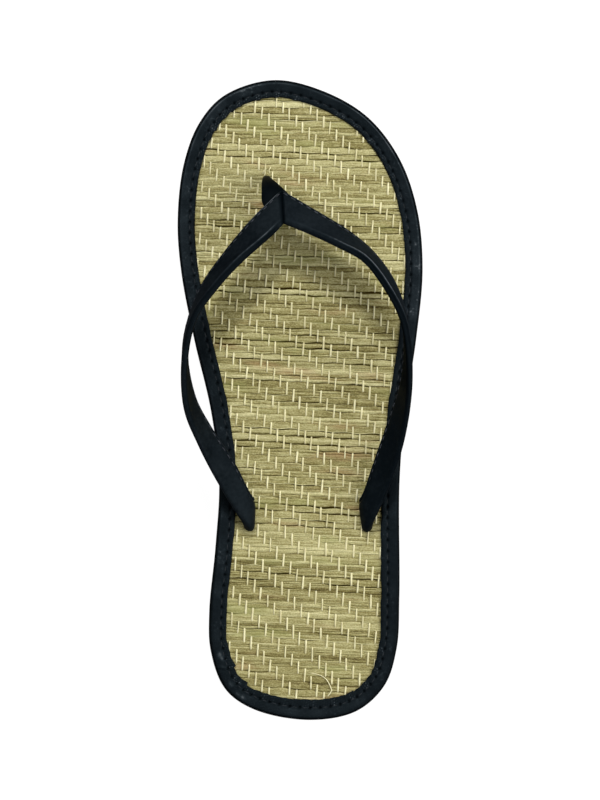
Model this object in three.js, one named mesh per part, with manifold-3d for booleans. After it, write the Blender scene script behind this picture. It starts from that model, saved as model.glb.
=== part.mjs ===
// Right-foot flip-flop: a foam outsole, a woven reed mat as footbed, a folded tape that binds the mat's
// edge, and a thong strap whose two bands meet over a toe post. Millimetres; +Y points to the toe, +X to
// the little-toe side and +Z up. The origin is on the floor, below the middle of the sole.

import * as THREE from "three";
import { mergeVertices } from "three/addons/utils/BufferGeometryUtils.js";
import Module from "manifold-3d";

const wasm = await Module();
wasm.setup();

// Driving dimensions
const SOLE_LENGTH = 260;
const GAP = 0.3;                  // between pieces that touch
const HEEL_THICKNESS = 12.4;      // outsole under the heel
const BALL_THICKNESS = 9.6;       // outsole under the ball of the foot
const TAPER_START = 60;           // the outsole thins between these distances from the heel end
const TAPER_END = 175;
const TOE_SPRING = 3.4;           // lift of the toe end off the floor
const TOE_BREAK = 206;            // where the toe starts to lift, from the heel end
const HEEL_LIFT = 1.0;            // lift of the heel end off the floor
const HEEL_BREAK = 9;
const SOLE_INSET = 0.5;           // outsole wall, inside the binding's outermost edge
const SOLE_BEVEL = { inset: 1.2, height: 1.4 };

const TAPE_THICKNESS = 0.9;
const TAPE_WIDTH = 7.0;           // binding seen from above
const MAT_RIM = 1.9;              // inset of the mat's edge inside the folded tape
const MAT_RIM_THICKNESS = 1.8;    // mat between the two folds of the tape
const REED_PITCH = 2.85;          // from one row of reeds to the next
const REED_RELIEF = 0.55;         // from the valley between two rows to the crest of a row
const WEAVE_SLANT = 4;            // degrees: rows drop towards the little-toe side

const STRAP_THICKNESS = 2.8;
const TAIL_DEPTH = 7.2;           // strap ends reach this far below the footbed
const TAIL_MIDDLE = 2;            // depth of the cut between the footbed and the end of a tail
const TAIL_CLEARANCE = 0.65;      // around the strap ends in their slots

// Fineness of the surfaces
const STATIONS = 52;              // cross lines along the outsole and binding
const STEPS_PER_CUT = 4;          // strap sections between two rows of its table
const POST_SIDES = 12;
const SLOT_CUTS = 2.75;           // rows of a strap end that its slot follows, from the end
const EDGE_SAMPLES = 800;         // places tried round the edge to find its heel and toe ends
const HALVINGS = 40;              // steps that close in on the end of a cross line

// Outer edge of the sole, clockwise from the heel end: distance from the heel end, distance from the axis
const SOLE_EDGE = [
  { place: "heel end", along: 0, across: 4 },
  { place: "medial heel corner", along: 4.3, across: -18.8 },
  { place: "medial heel quarter", along: 12.5, across: -30.3 },
  { place: "medial heel side", along: 28, across: -36.2 },
  { place: "medial heel widest", along: 44, across: -36.8 },
  { place: "medial seat", along: 70, across: -34.3 },
  { place: "arch", along: 97, across: -32.8 },
  { place: "arch front", along: 125, across: -36 },
  { place: "medial waist", along: 155, across: -43 },
  { place: "medial ball back", along: 182, across: -48.2 },
  { place: "medial ball", along: 203, across: -49.7 },
  { place: "big toe joint", along: 226, across: -47.2 },
  { place: "big toe side", along: 243, across: -40.7 },
  { place: "big toe corner", along: 254, across: -30.4 },
  { place: "toe end", along: 260, across: -10.8 },
  { place: "second toe", along: 255.6, across: 9.3 },
  { place: "third toe", along: 245, across: 27.5 },
  { place: "fourth toe", along: 228, across: 40.5 },
  { place: "little toe", along: 207, across: 47.7 },
  { place: "lateral ball", along: 183, across: 49.8 },
  { place: "lateral waist", along: 155, across: 47.2 },
  { place: "lateral waist back", along: 125, across: 42.7 },
  { place: "lateral seat", along: 97, across: 40.4 },
  { place: "lateral heel widest", along: 50, across: 40.3 },
  { place: "lateral heel side", along: 29, across: 39.2 },
  { place: "lateral heel quarter", along: 14, across: 34.3 },
  { place: "lateral heel corner", along: 3.6, across: 23 },
];

// Cuts across the strap: its toe-side and heel-side edges (centres of their rounding), in plan and above
// the footbed. Each band is flat at the apex, stands on edge at the side, turns along its slot and is
// fuller there (thick, where a cut has its own thickness).
const APEX = { tx: -7.4, ty: 83.6, tz: 16, hx: -6.8, hy: 72.8, hz: 21.5 };
const MEDIAL_BAND = [
  { tx: -19.5, ty: 71.4, tz: 17.5, hx: -13.3, hy: 66.5, hz: 21.5 },
  { tx: -29.6, ty: 59.3, tz: 16.8, hx: -25.0, hy: 56.0, hz: 23.8 },
  { tx: -38.2, ty: 47.3, tz: 17.0, hx: -34.6, hy: 45.3, hz: 25.0 },
  { tx: -43.8, ty: 34.7, tz: 17.0, hx: -42.4, hy: 34.0, hz: 26.0 },
  { tx: -46.5, ty: 20.5, tz: 17.0, hx: -46.3, hy: 18.8, hz: 26.0 },
  { tx: -43.2, ty: 1.2, tz: 16.2, hx: -46.0, hy: -2.5, hz: 23.9 },
  { tx: -36.1, ty: -11.5, tz: 13.2, hx: -40.3, hy: -17.5, hz: 18.7 },
  { tx: -26.9, ty: -27.3, tz: 8.3, hx: -31.0, hy: -35.4, hz: 10.3 },
  { tx: -20.6, ty: -41.0, tz: 2.5, hx: -21.0, hy: -50.7, hz: 2.5, thick: 4.8 },
];
const LATERAL_BAND = [
  { tx: 6.0, ty: 75.5, tz: 17.0, hx: 2.2, hy: 69.2, hz: 22.5 },
  { tx: 19.3, ty: 67.4, tz: 16.8, hx: 16.3, hy: 62.6, hz: 24.0 },
  { tx: 29.0, ty: 59.3, tz: 16.8, hx: 26.2, hy: 56.9, hz: 25.2 },
  { tx: 37.4, ty: 47.6, tz: 17.0, hx: 35.0, hy: 45.7, hz: 25.6 },
  { tx: 42.4, ty: 32.6, tz: 17.0, hx: 42.0, hy: 31.2, hz: 26.0 },
  { tx: 42.4, ty: 12.0, tz: 16.6, hx: 44.3, hy: 9.0, hz: 25.0 },
  { tx: 37.2, ty: -7.5, tz: 13.5, hx: 41.7, hy: -13.5, hz: 18.6 },
  { tx: 31.0, ty: -25.6, tz: 8.3, hx: 35.6, hy: -33.8, hz: 10.3 },
  { tx: 26.2, ty: -41.2, tz: 2.5, hx: 27.6, hy: -51.0, hz: 2.5, thick: 4.8 },
];

// Cuts across the toe post, from its foot to where it spreads under the two bands
const TOE_POST = [
  { tx: -15.2, ty: 89.3, tz: 1.5, hx: -11.8, hy: 89.3, hz: 1.5, thick: 4.0 },
  { tx: -15.5, ty: 88.0, tz: 6.5, hx: -10.8, hy: 88.7, hz: 6.5, thick: 3.6 },
  { tx: -15.6, ty: 85.0, tz: 11.5, hx: -8.2, hy: 86.8, hz: 11.0, thick: 3.2 },
  { tx: -15.3, ty: 79.8, tz: 15.0, hx: -4.4, hy: 83.2, hz: 15.1, thick: 2.8 },
  { tx: -12.8, ty: 76.0, tz: 17.0, hx: -1.0, hy: 77.8, hz: 17.3, thick: 2.4 },
];

// Section of a band, round from its toe-side edge: distance in from an edge, lift from the middle plane
const STRAP_SECTION = [
  { edge: "toe", inward: -1.4, lift: 0 },
  { edge: "toe", inward: -1.1, lift: 0.9 },
  { edge: "toe", inward: -0.4, lift: 1.15 },
  { edge: "toe", inward: 0, lift: 0.85 },
  { edge: "toe", inward: 0.5, lift: 1.25 },
  { edge: "heel", inward: 3.4, lift: 1.45 },
  { edge: "heel", inward: 0.8, lift: 1.3 },
  { edge: "heel", inward: -0.9, lift: 0.6 },
  { edge: "heel", inward: -1.4, lift: -0.3 },
  { edge: "heel", inward: -1.0, lift: -1.1 },
  { edge: "heel", inward: 0, lift: -1.4 },
  { edge: "toe", inward: 0, lift: -1.4 },
  { edge: "toe", inward: -1.0, lift: -1.0 },
];

// Folded tape, round its section: inset from the outermost edge, height above the outsole's top
const TAPE_LOWER = GAP + TAPE_THICKNESS;
const RIM_TOP = TAPE_LOWER + GAP + MAT_RIM_THICKNESS;
const TAPE_UPPER = RIM_TOP + GAP;
const TAPE_TOP = TAPE_UPPER + TAPE_THICKNESS;
const TAPE_SECTION = [
  { inset: TAPE_WIDTH, height: GAP },
  { inset: 1.5, height: GAP },
  { inset: 0.4, height: GAP + 0.8 },
  { inset: 0, height: TAPE_TOP / 2 },
  { inset: 0.4, height: TAPE_TOP - 1.0 },
  { inset: 1.5, height: TAPE_TOP - 0.1 },
  { inset: 3.2, height: TAPE_TOP + 0.1 },
  { inset: TAPE_WIDTH, height: TAPE_TOP - 0.1 },
  { inset: TAPE_WIDTH, height: TAPE_UPPER },
  { inset: 1.9, height: TAPE_UPPER },
  { inset: 1.1, height: TAPE_TOP / 2 },
  { inset: 1.9, height: TAPE_LOWER },
  { inset: TAPE_WIDTH, height: TAPE_LOWER },
];

const MATERIALS = {
  outsole: { color: 0x17181a, roughness: 0.85 },
  footbed_mat: { color: 0xa39a6c, roughness: 0.7 },
  edge_binding: { color: 0x1a1c20, roughness: 0.55 },
  thong_strap: { color: 0x171b20, roughness: 0.45 },
};

const edge = new THREE.CatmullRomCurve3(
  SOLE_EDGE.map(({ across, along }) => new THREE.Vector3(across, along - SOLE_LENGTH / 2, 0)),
  true,
  "centripetal",
);

/** Eases from 0 to 1 as value goes from start to end. */
const ease = (value, start, end) => THREE.MathUtils.smoothstep(value, start, end);

/** Height of the outsole's underside at y: flat between the heel and toe breaks. */
function ground(y) {
  const along = y + SOLE_LENGTH / 2;
  const toe = Math.max(0, (along - TOE_BREAK) / (SOLE_LENGTH - TOE_BREAK));
  const heel = Math.max(0, (HEEL_BREAK - along) / HEEL_BREAK);
  return TOE_SPRING * toe ** 2 + HEEL_LIFT * heel ** 2;
}

/** Height of the outsole's top at y. */
function deck(y) {
  const taper = ease(y + SOLE_LENGTH / 2, TAPER_START, TAPER_END);
  return ground(y) + THREE.MathUtils.lerp(HEEL_THICKNESS, BALL_THICKNESS, taper);
}

/** Height of the mat's reed crests at y. */
const footbed = (y) => deck(y) + RIM_TOP;

/** Point of the sole's edge at curve position u, moved inward. */
function edgePoint(u, inset) {
  const point = edge.getPoint(u % 1);
  const tangent = edge.getTangent(u % 1);
  return new THREE.Vector2(point.x + inset * tangent.y, point.y - inset * tangent.x);
}

/** Curve positions of cross lines: heel end, medial ends, toe end, lateral ends back to the heel. */
function crossLines(fractions, inset, slant) {
  const reach = (u) => {
    const point = edgePoint(u, inset);
    return point.y + slant * point.x;
  };
  let heel = 0;
  let toe = 0.5;
  for (let i = 0; i < EDGE_SAMPLES; i += 1) {
    const u = i / EDGE_SAMPLES;
    if (reach(u) < reach(heel)) heel = u;
    if (reach(u) > reach(toe)) toe = u;
  }
  const heelTurn = heel > toe ? heel - 1 : heel;
  const find = (level, low, high) => {
    let [a, b] = [low, high];
    for (let i = 0; i < HALVINGS; i += 1) {
      const middle = (a + b) / 2;
      if (reach((middle + 1) % 1) < level) a = middle;
      else b = middle;
    }
    return ((a + b) / 2 + 1) % 1;
  };
  const levels = fractions.map((f) => THREE.MathUtils.lerp(reach(heel), reach(toe), f));
  const medial = levels.map((level) => find(level, heelTurn, toe));
  const lateral = levels.map((level) => find(level, heelTurn + 1, toe));
  return [heel, ...medial, toe, ...lateral.reverse()];
}

/** Ring of points at an inset; lift(y, index) gives each point's height. */
function ring(positions, inset, lift) {
  return positions.map((u, index) => {
    const { x, y } = edgePoint(u, inset);
    return new THREE.Vector3(x, y, lift(y, index));
  });
}

/** Collects triangles of a closed surface. */
class Facets {
  corners = [];

  triangle(a, b, c) {
    this.corners.push(...a.toArray(), ...b.toArray(), ...c.toArray());
  }

  quad(a, b, c, d) {
    this.triangle(a, b, c);
    this.triangle(a, c, d);
  }

  /** Joins two closed loops of points; for rings of the sole's edge, from the lower one to the upper. */
  wall(from, to) {
    from.forEach((point, i) => {
      const next = (i + 1) % from.length;
      this.quad(point, to[i], to[next], from[next]);
    });
  }

  /** Closes a ring of the sole's edge with strips from its medial to its lateral points. */
  strips(points, faceUp) {
    const half = points.length / 2;
    for (let i = 0; i < half; i += 1) {
      const [m0, m1] = [points[i], points[i + 1]];
      const [l0, l1] = [points[(points.length - i) % points.length], points[points.length - i - 1]];
      if (i > 0) this.triangle(...(faceUp ? [m0, l0, m1] : [m0, m1, l0]));
      if (i < half - 1) this.triangle(...(faceUp ? [m1, l0, l1] : [m1, l1, l0]));
    }
  }

  /** Closes a loop with a fan round its middle. */
  fan(loop, reverse) {
    const middle = loop.reduce((sum, p) => sum.add(p), new THREE.Vector3()).divideScalar(loop.length);
    loop.forEach((point, i) => {
      const next = loop[(i + 1) % loop.length];
      this.triangle(middle, ...(reverse ? [next, point] : [point, next]));
    });
  }

  geometry() {
    const open = new THREE.BufferGeometry();
    open.setAttribute("position", new THREE.Float32BufferAttribute(this.corners, 3));
    return mergeVertices(open);
  }
}

/** Turns a closed geometry into a solid that can be cut and joined. */
function solidOf(geometry) {
  const vertProperties = geometry.getAttribute("position").array;
  const triVerts = Uint32Array.from(geometry.getIndex().array);
  return new wasm.Manifold(new wasm.Mesh({ numProp: 3, vertProperties, triVerts }));
}

/** Turns a solid back into a geometry. */
function geometryOf(solid) {
  const { vertProperties, triVerts } = solid.getMesh();
  const geometry = new THREE.BufferGeometry();
  geometry.setAttribute("position", new THREE.BufferAttribute(vertProperties, 3));
  geometry.setIndex(new THREE.BufferAttribute(triVerts, 1));
  return geometry;
}

/** Toe-side and heel-side edge points of a row of a strap table. */
function edgesOf({ tx, ty, tz, hx, hy, hz }) {
  const base = footbed((ty + hy) / 2);
  return [new THREE.Vector3(tx, ty, base + tz), new THREE.Vector3(hx, hy, base + hz)];
}

/** A row moved straight down (or up) to another height above the footbed. */
const atHeight = (row, height) => ({ ...row, tz: height, hz: height });

/** Section points of a band between its two edges; grow widens it all round. */
function bandSection(toe, heel, across, normal, grow, thick) {
  return STRAP_SECTION.map(({ edge: side, inward, lift }) => {
    const scale = (thick / 2 + grow) / (STRAP_THICKNESS / 2);
    const from = side === "toe" ? toe : heel;
    const step = (side === "toe" ? inward : -inward) * (inward < 0 ? scale : 1);
    return from.clone().addScaledVector(across, step).addScaledVector(normal, lift * scale);
  });
}

/** Oval section of the toe post between its two sides. */
function postSection(left, right, across, normal, grow, thick) {
  const middle = left.clone().lerp(right, 0.5);
  const halfWidth = left.distanceTo(right) / 2 + grow;
  return Array.from({ length: POST_SIDES }, (_, i) => {
    const angle = (Math.PI * 2 * i) / POST_SIDES;
    const point = middle.clone().addScaledVector(across, -Math.cos(angle) * halfWidth);
    return point.addScaledVector(normal, Math.sin(angle) * (thick / 2 + grow));
  });
}

/** Solid along rows of edge pairs, with a section function; range picks a stretch of the rows. */
function ribbon(rows, section, { grow = 0, range = [0, rows.length - 1] } = {}) {
  const pairs = rows.map(edgesOf);
  const toeEdge = new THREE.CatmullRomCurve3(pairs.map(([toe]) => toe), false, "centripetal");
  const heelEdge = new THREE.CatmullRomCurve3(pairs.map(([, heel]) => heel), false, "centripetal");
  const [first, last] = range;
  const steps = Math.round((last - first) * STEPS_PER_CUT);
  const sections = Array.from({ length: steps + 1 }, (_, i) => {
    const cut = first + ((last - first) * i) / steps;
    const u = cut / (rows.length - 1);
    const [toe, heel] = [toeEdge.getPoint(u), heelEdge.getPoint(u)];
    const across = heel.clone().sub(toe).normalize();
    const along = toeEdge.getTangent(u).add(heelEdge.getTangent(u));
    const normal = across.clone().cross(along).normalize();
    const row = rows[Math.floor(cut)];
    const after = rows[Math.min(rows.length - 1, Math.floor(cut) + 1)];
    const [thickness, next] = [row, after].map(({ thick = STRAP_THICKNESS }) => thick);
    const thick = THREE.MathUtils.lerp(thickness, next, cut % 1);
    return section(toe, heel, across, normal, grow, thick);
  });
  const facets = new Facets();
  sections.slice(1).forEach((loop, i) => facets.wall(loop, sections[i]));
  facets.fan(sections[0], true);
  facets.fan(sections.at(-1), false);
  return solidOf(facets.geometry());
}

/** Rows of a band with its end carried straight down into its slot. */
function withTail(band) {
  const slot = band.at(-1);
  return [...band, atHeight(slot, -TAIL_MIDDLE), atHeight(slot, -TAIL_DEPTH)];
}

const strapRows = [...withTail(MEDIAL_BAND).reverse(), APEX, ...withTail(LATERAL_BAND)];
const postRows = withTail([...TOE_POST].reverse()).reverse();

/** The two bands in one piece, joined with the toe post. */
function thongStrap() {
  return ribbon(strapRows, bandSection).add(ribbon(postRows, postSection));
}

/** Clearance round the three strap ends, open at the footbed and a little deeper than the ends. */
function strapSlots() {
  const deeper = (row) => atHeight(row, -TAIL_DEPTH - TAIL_CLEARANCE);
  const grow = TAIL_CLEARANCE;
  const last = strapRows.length - 1;
  const rows = strapRows.map((row, i) => (i === 0 || i === last ? deeper(row) : row));
  const foot = postRows.map((row, i) => (i === 0 ? deeper(row) : row));
  return [
    ribbon(rows, bandSection, { grow, range: [0, SLOT_CUTS] }),
    ribbon(rows, bandSection, { grow, range: [last - SLOT_CUTS, last] }),
    ribbon(foot, postSection, { grow, range: [0, SLOT_CUTS] }),
  ];
}

/** Cuts every slot out of a solid. */
const cutSlots = (solid) => strapSlots().reduce((rest, slot) => rest.subtract(slot), solid);

/** Cross lines of the outsole and binding, closer together where the heel and toe turn. */
const soleLines = crossLines(
  Array.from({ length: STATIONS - 1 }, (_, i) => (1 - Math.cos((Math.PI * (i + 1)) / STATIONS)) / 2),
  0,
  0,
);

/** Foam sole: bevelled at the floor, flat wall, thinner towards the ball, with sockets for the strap. */
function outsole() {
  const facets = new Facets();
  const bottom = ring(soleLines, SOLE_INSET + SOLE_BEVEL.inset, ground);
  const bevel = ring(soleLines, SOLE_INSET, (y) => ground(y) + SOLE_BEVEL.height);
  const top = ring(soleLines, SOLE_INSET, deck);
  facets.strips(bottom, false);
  facets.wall(bottom, bevel);
  facets.wall(bevel, top);
  facets.strips(top, true);
  return cutSlots(solidOf(facets.geometry()));
}

/** Woven mat: rows of reeds as ridges across the foot, a thin rim inside the tape, slots for the strap. */
function footbedMat() {
  const slant = Math.tan(THREE.MathUtils.degToRad(WEAVE_SLANT));
  const halfRows = 2 * Math.round((SOLE_LENGTH - 2 * MAT_RIM) / REED_PITCH);
  const fractions = Array.from({ length: halfRows - 1 }, (_, i) => (i + 1) / halfRows);
  const lines = crossLines(fractions, MAT_RIM, slant);
  const inner = TAPE_WIDTH + 2 * GAP;
  const facets = new Facets();
  const core = ring(lines, inner, (y) => deck(y) + GAP);
  const coreTop = ring(lines, inner, (y) => deck(y) + TAPE_LOWER + GAP);
  const rim = ring(lines, MAT_RIM, (y) => deck(y) + TAPE_LOWER + GAP);
  const reeds = ring(lines, MAT_RIM, (y, i) => footbed(y) - (i % 2 === 0 ? REED_RELIEF : 0));
  facets.strips(core, false);
  facets.wall(core, coreTop);
  facets.wall(coreTop, rim);
  facets.wall(rim, reeds);
  facets.strips(reeds, true);
  return cutSlots(solidOf(facets.geometry()));
}

/** Tape folded round the mat's edge, closed all the way round. */
function edgeBinding() {
  const facets = new Facets();
  const loops = TAPE_SECTION.map(({ inset, height }) => ring(soleLines, inset, (y) => deck(y) + height));
  loops.forEach((loop, i) => facets.wall(loop, loops[(i + 1) % loops.length]));
  return solidOf(facets.geometry());
}

/** Named mesh of a solid. */
function piece(name, solid) {
  const mesh = new THREE.Mesh(geometryOf(solid), new THREE.MeshStandardMaterial(MATERIALS[name]));
  mesh.name = name;
  return mesh;
}

const flipFlop = new THREE.Group();
flipFlop.add(
  piece("outsole", outsole()),
  piece("footbed_mat", footbedMat()),
  piece("edge_binding", edgeBinding()),
  piece("thong_strap", thongStrap()),
);

export default flipFlop;
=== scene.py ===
"""Looks of a right-foot flip-flop: a woven reed footbed, a stitched edge tape, a thong strap and a foam sole.

Sizes are in millimetres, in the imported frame: +Y to the toe, +X to the little toe, +Z up from the floor.
They become metres only where a mesh or the camera is made. Places and sizes of lights are in metres.
"""

import logging
import math
from dataclasses import dataclass, field
from enum import Enum
from typing import Any, NamedTuple

import bmesh
import bpy
import numpy as np
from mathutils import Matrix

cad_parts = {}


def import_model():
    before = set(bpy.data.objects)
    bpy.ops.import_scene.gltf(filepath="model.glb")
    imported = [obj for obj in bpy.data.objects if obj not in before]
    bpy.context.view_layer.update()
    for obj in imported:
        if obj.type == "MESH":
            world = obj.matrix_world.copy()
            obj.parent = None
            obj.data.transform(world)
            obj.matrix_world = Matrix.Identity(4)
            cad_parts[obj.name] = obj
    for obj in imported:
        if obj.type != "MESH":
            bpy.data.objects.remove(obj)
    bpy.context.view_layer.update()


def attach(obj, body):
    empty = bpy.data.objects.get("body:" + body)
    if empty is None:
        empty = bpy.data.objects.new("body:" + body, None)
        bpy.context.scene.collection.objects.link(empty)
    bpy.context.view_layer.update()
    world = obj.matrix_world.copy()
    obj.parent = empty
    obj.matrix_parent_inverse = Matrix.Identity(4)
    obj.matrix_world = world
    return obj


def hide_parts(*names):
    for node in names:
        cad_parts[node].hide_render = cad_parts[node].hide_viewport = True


LOG = logging.getLogger("flip_flop")
METRES = 0.001
BODY = "root"
TONE = "tone"
WELD_DISTANCE = 1e-6
TURN = 2.0 * math.pi
WEAVE = 4  # rows, and threads, in one repeat of the weave
ROD_ROWS, ROD_COLUMNS = 7, 8
THREAD_COLUMNS = 6
ASKEW = np.array([0.12, 0.31, 0.94])  # a direction that no loose thread runs along

Array = np.ndarray
Pair = tuple[float, float]
Triple = tuple[float, float, float]
Colour = tuple[float, float, float, float]
Stops = tuple[tuple[float, Colour], ...]
Marks = tuple[tuple[float, float, float, float], ...]


class Slot(Enum):
    """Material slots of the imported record."""

    FOAM = "sole_foam"
    MAT = "reed_mat"
    TAPE = "binding_tape"
    STRAP = "strap_vinyl"


class EdgeMark(NamedTuple):
    """A place on the sole's outer edge: distance from the heel end, and from the shoe's axis."""

    along: float
    across: float


class StrapCut(NamedTuple):
    """A cut across the strap: toe-side and heel-side edge, in plan and above the footbed.

    The last four are the share of the heel-side ridge there, the painted highlight of the toe-side bead,
    how much painted light lifts the vinyl (negative where it is painted shade), and how much painted shade
    darkens its inner face.
    """

    tx: float
    ty: float
    tz: float
    hx: float
    hy: float
    hz: float
    ridge: float = 0.0
    bead: float = 0.0
    pale: float = 0.0
    dull: float = 0.0


class SectionMark(NamedTuple):
    """A point of a strap's section: its edge, distance in from it, and lift from the middle plane.

    The last two are the lift of the heel-side ridge, and the painted highlight on the ridge or bead over the
    band, negative where painted shade darkens it.
    """

    edge: float
    inward: float
    lift: float
    ridge: float = 0.0
    tone: float = 0.0


class TapeMark(NamedTuple):
    """A point of the tape's section: inset from the outer edge, height above the outsole, samples after."""

    inset: float
    height: float
    samples: int


SOLE_EDGE = tuple(EdgeMark(*row) for row in (
    (0, 4), (4.3, -18.8), (12.5, -30.3), (28, -36.2), (44, -36.8),
    (70, -34.3), (97, -32.8), (125, -36), (155, -43), (182, -48.2),
    (203, -49.7), (226, -47.2), (243, -40.7), (254, -30.4), (260, -10.8),
    (255.6, 9.3), (245, 27.5), (228, 40.5), (207, 47.7), (183, 49.8),
    (155, 47.2), (125, 42.7), (97, 40.4), (50, 40.3), (29, 39.2),
    (14, 34.3), (3.6, 23),
))

# Each cut: toe-side edge, heel-side edge, the ridge's share, the bead's painted highlight, painted light
# along the band (painted shade where negative), and painted shade on the inner face.
APEX = StrapCut(-7.4, 83.6, 16.0, -6.8, 72.8, 21.5, 0.0, 1.0, 0.06)
MEDIAL_BAND = tuple(StrapCut(*row) for row in (
    (-19.5, 71.4, 17.5, -13.3, 66.5, 21.5, 0.7, 0.9, 0.04),
    (-29.6, 59.3, 16.8, -25.0, 56.0, 23.8, 0.5, 0.3, 0.0),
    (-38.2, 47.3, 17.0, -34.6, 45.3, 25.0, 0.25, 0.3, 0.0),
    (-43.8, 34.7, 17.0, -42.4, 34.0, 26.0, 0.2, 0.3, 0.0),
    (-46.5, 20.5, 17.0, -46.3, 18.8, 26.0, 0.1, 0.2, 0.02, 0.14),
    (-43.4, 1.1, 16.2, -46.0, -2.5, 23.9, 0.0, 0.2, 0.04, 0.1),
    (-36.8, -11.9, 13.2, -40.3, -17.5, 18.7, 0.0, 0.2, 0.05),
    (-26.9, -27.3, 8.3, -31.0, -35.4, 10.3, 0.0, 0.2, 0.07),
    (-20.6, -41.0, 2.5, -21.0, -50.7, 2.5, 0.0, 0.2, 0.1),
))
LATERAL_BAND = tuple(StrapCut(*row) for row in (
    (6.0, 75.5, 17.0, 2.2, 69.2, 22.5, 0.1, 0.6, 0.1),
    (19.3, 67.4, 16.8, 16.3, 62.6, 24.0, 0.5, 0.2, 0.08),
    (29.0, 59.3, 16.8, 26.2, 56.9, 25.2, 0.8, 0.2, 0.08),
    (37.4, 47.6, 17.0, 35.0, 45.7, 25.6, 0.85, 0.2, 0.08, 0.5),
    (42.4, 32.6, 17.0, 42.0, 31.2, 26.0, 0.5, 0.2, 0.0, 0.44),
    (42.4, 12.0, 16.6, 44.3, 9.0, 25.0, 0.0, 0.1, -0.06, 0.36),
    (37.2, -7.5, 13.5, 41.7, -13.5, 18.6, 0.0, 0.1, -0.06),
    (31.0, -25.6, 8.3, 35.6, -33.8, 10.3, 0.0, 0.1, -0.04),
    (26.2, -41.2, 2.5, 27.6, -51.0, 2.5, 0.0, 0.1, 0.0),
))
TOE_POST = tuple(StrapCut(*row) for row in (
    (-15.2, 89.3, 1.5, -11.8, 89.3, 1.5),
    (-15.5, 88.0, 6.5, -10.8, 88.7, 6.5),
    (-15.6, 85.0, 11.5, -8.2, 86.8, 11.0),
    (-15.3, 79.8, 15.0, -4.4, 83.2, 15.1),
    (-12.8, 76.0, 17.0, -1.0, 77.8, 17.3),
))
POST_THICKNESS = (4.0, 3.6, 3.2, 2.8, 2.4)

TOE_EDGE, HEEL_EDGE = 0.0, 1.0
# Each point: edge, inward, lift, ridge lift, and painted tone: highlight on the bead and ridge, shade at the
# toe edge, in the seam groove and on the bevel.
STRAP_SECTION = tuple(SectionMark(*row) for row in (
    (TOE_EDGE, -1.4, 0.0, 0.0, -0.2),
    (TOE_EDGE, -1.25, 0.72, 0.0, 0.05),
    (TOE_EDGE, -0.85, 1.08, 0.0, 0.3),
    (TOE_EDGE, -0.4, 1.12, 0.0, 0.05),
    (TOE_EDGE, -0.1, 0.88, 0.0, -0.35),
    (TOE_EDGE, 0.2, 1.12, 0.0, 0.05),
    (TOE_EDGE, 0.8, 1.28),
    (TOE_EDGE, 3.0, 1.38),
    (HEEL_EDGE, 2.8, 1.4),
    (HEEL_EDGE, 0.85, 1.36, 0.05),
    (HEEL_EDGE, 0.4, 1.34, 0.17, 0.5),
    (HEEL_EDGE, 0.05, 1.28, 0.0, 0.25),
    (HEEL_EDGE, -0.35, 1.14, -0.45, -0.4),
    (HEEL_EDGE, -0.95, 0.8, -0.45, -0.4),
    (HEEL_EDGE, -1.35, 0.0, 0.0, -0.3),
    (HEEL_EDGE, -1.3, -0.7),
    (HEEL_EDGE, -0.6, -1.3),
    (HEEL_EDGE, 1.5, -1.4),
    (TOE_EDGE, 2.2, -1.4),
    (TOE_EDGE, 0.4, -1.2),
    (TOE_EDGE, -0.1, -0.9),
    (TOE_EDGE, -0.5, -1.15),
    (TOE_EDGE, -1.2, -0.75),
))

TAPE_SECTION = tuple(TapeMark(*row) for row in (
    (7.0, 0.3, 2),
    (1.6, 0.3, 2),
    (0.4, 0.9, 3),
    (-0.15, 2.3, 3),
    (0.05, 3.5, 3),
    (0.4, 4.15, 3),
    (0.85, 4.48, 3),
    (1.5, 4.5, 3),
    (3.2, 4.52, 3),
    (4.35, 4.45, 3),
    (4.75, 4.34, 3),
    (5.15, 4.42, 3),
    (6.0, 4.45, 4),
    (6.75, 4.3, 3),
    (7.0, 3.95, 2),
    (6.7, 3.62, 1),
    (1.9, 3.6, 1),
    (1.1, 2.4, 1),
    (1.9, 1.2, 1),
    (6.8, 1.2, 1),
))


def colour(red: float, green: float, blue: float) -> Colour:
    """Turns a screen colour into the linear colour of a shader socket.

    Args:
        red: red from 0 to 255, as a screen shows it.
        green: green, likewise.
        blue: blue, likewise.

    Returns:
        Linear red, green, blue and an alpha of one.
    """
    shown = np.array([red, green, blue]) / 255.0
    linear = np.where(shown <= 0.04045, shown / 12.92, ((shown + 0.055) / 1.055) ** 2.4)
    return (float(linear[0]), float(linear[1]), float(linear[2]), 1.0)


def unit(vectors: Array) -> Array:
    """Scales each vector of an array to length one."""
    return vectors / np.linalg.norm(vectors, axis=-1, keepdims=True)


def bell(distance: Array, width: float) -> Array:
    """Bell curve: one at no distance, falling off over the width."""
    return np.exp(-((distance / width) ** 2))


def ease(value: Array, start: float, end: float) -> Array:
    """Rises smoothly from zero at start to one at end."""
    part = np.clip((value - start) / (end - start), 0.0, 1.0)
    return part * part * (3.0 - 2.0 * part)


def from_least(least: float, share: Array) -> Array:
    """Grows evenly with a share, from a least value to one."""
    return least + (1.0 - least) * share


def lengths(line: Array) -> Array:
    """Length along a line up to each of its points."""
    return np.concatenate([[0.0], np.cumsum(np.linalg.norm(np.diff(line, axis=0), axis=1))])


def sample(at: Array, run: Array, line: Array) -> Array:
    """Points at lengths along a line, straight between its own points."""
    return np.stack([np.interp(at, run, column) for column in line.T], axis=1)


def sheet(x: Array, y: Array, z: Array) -> Array:
    """Points from three arrays of coordinates, each repeated where it has fewer."""
    return np.stack(np.broadcast_arrays(x, y, z), axis=-1)


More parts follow.
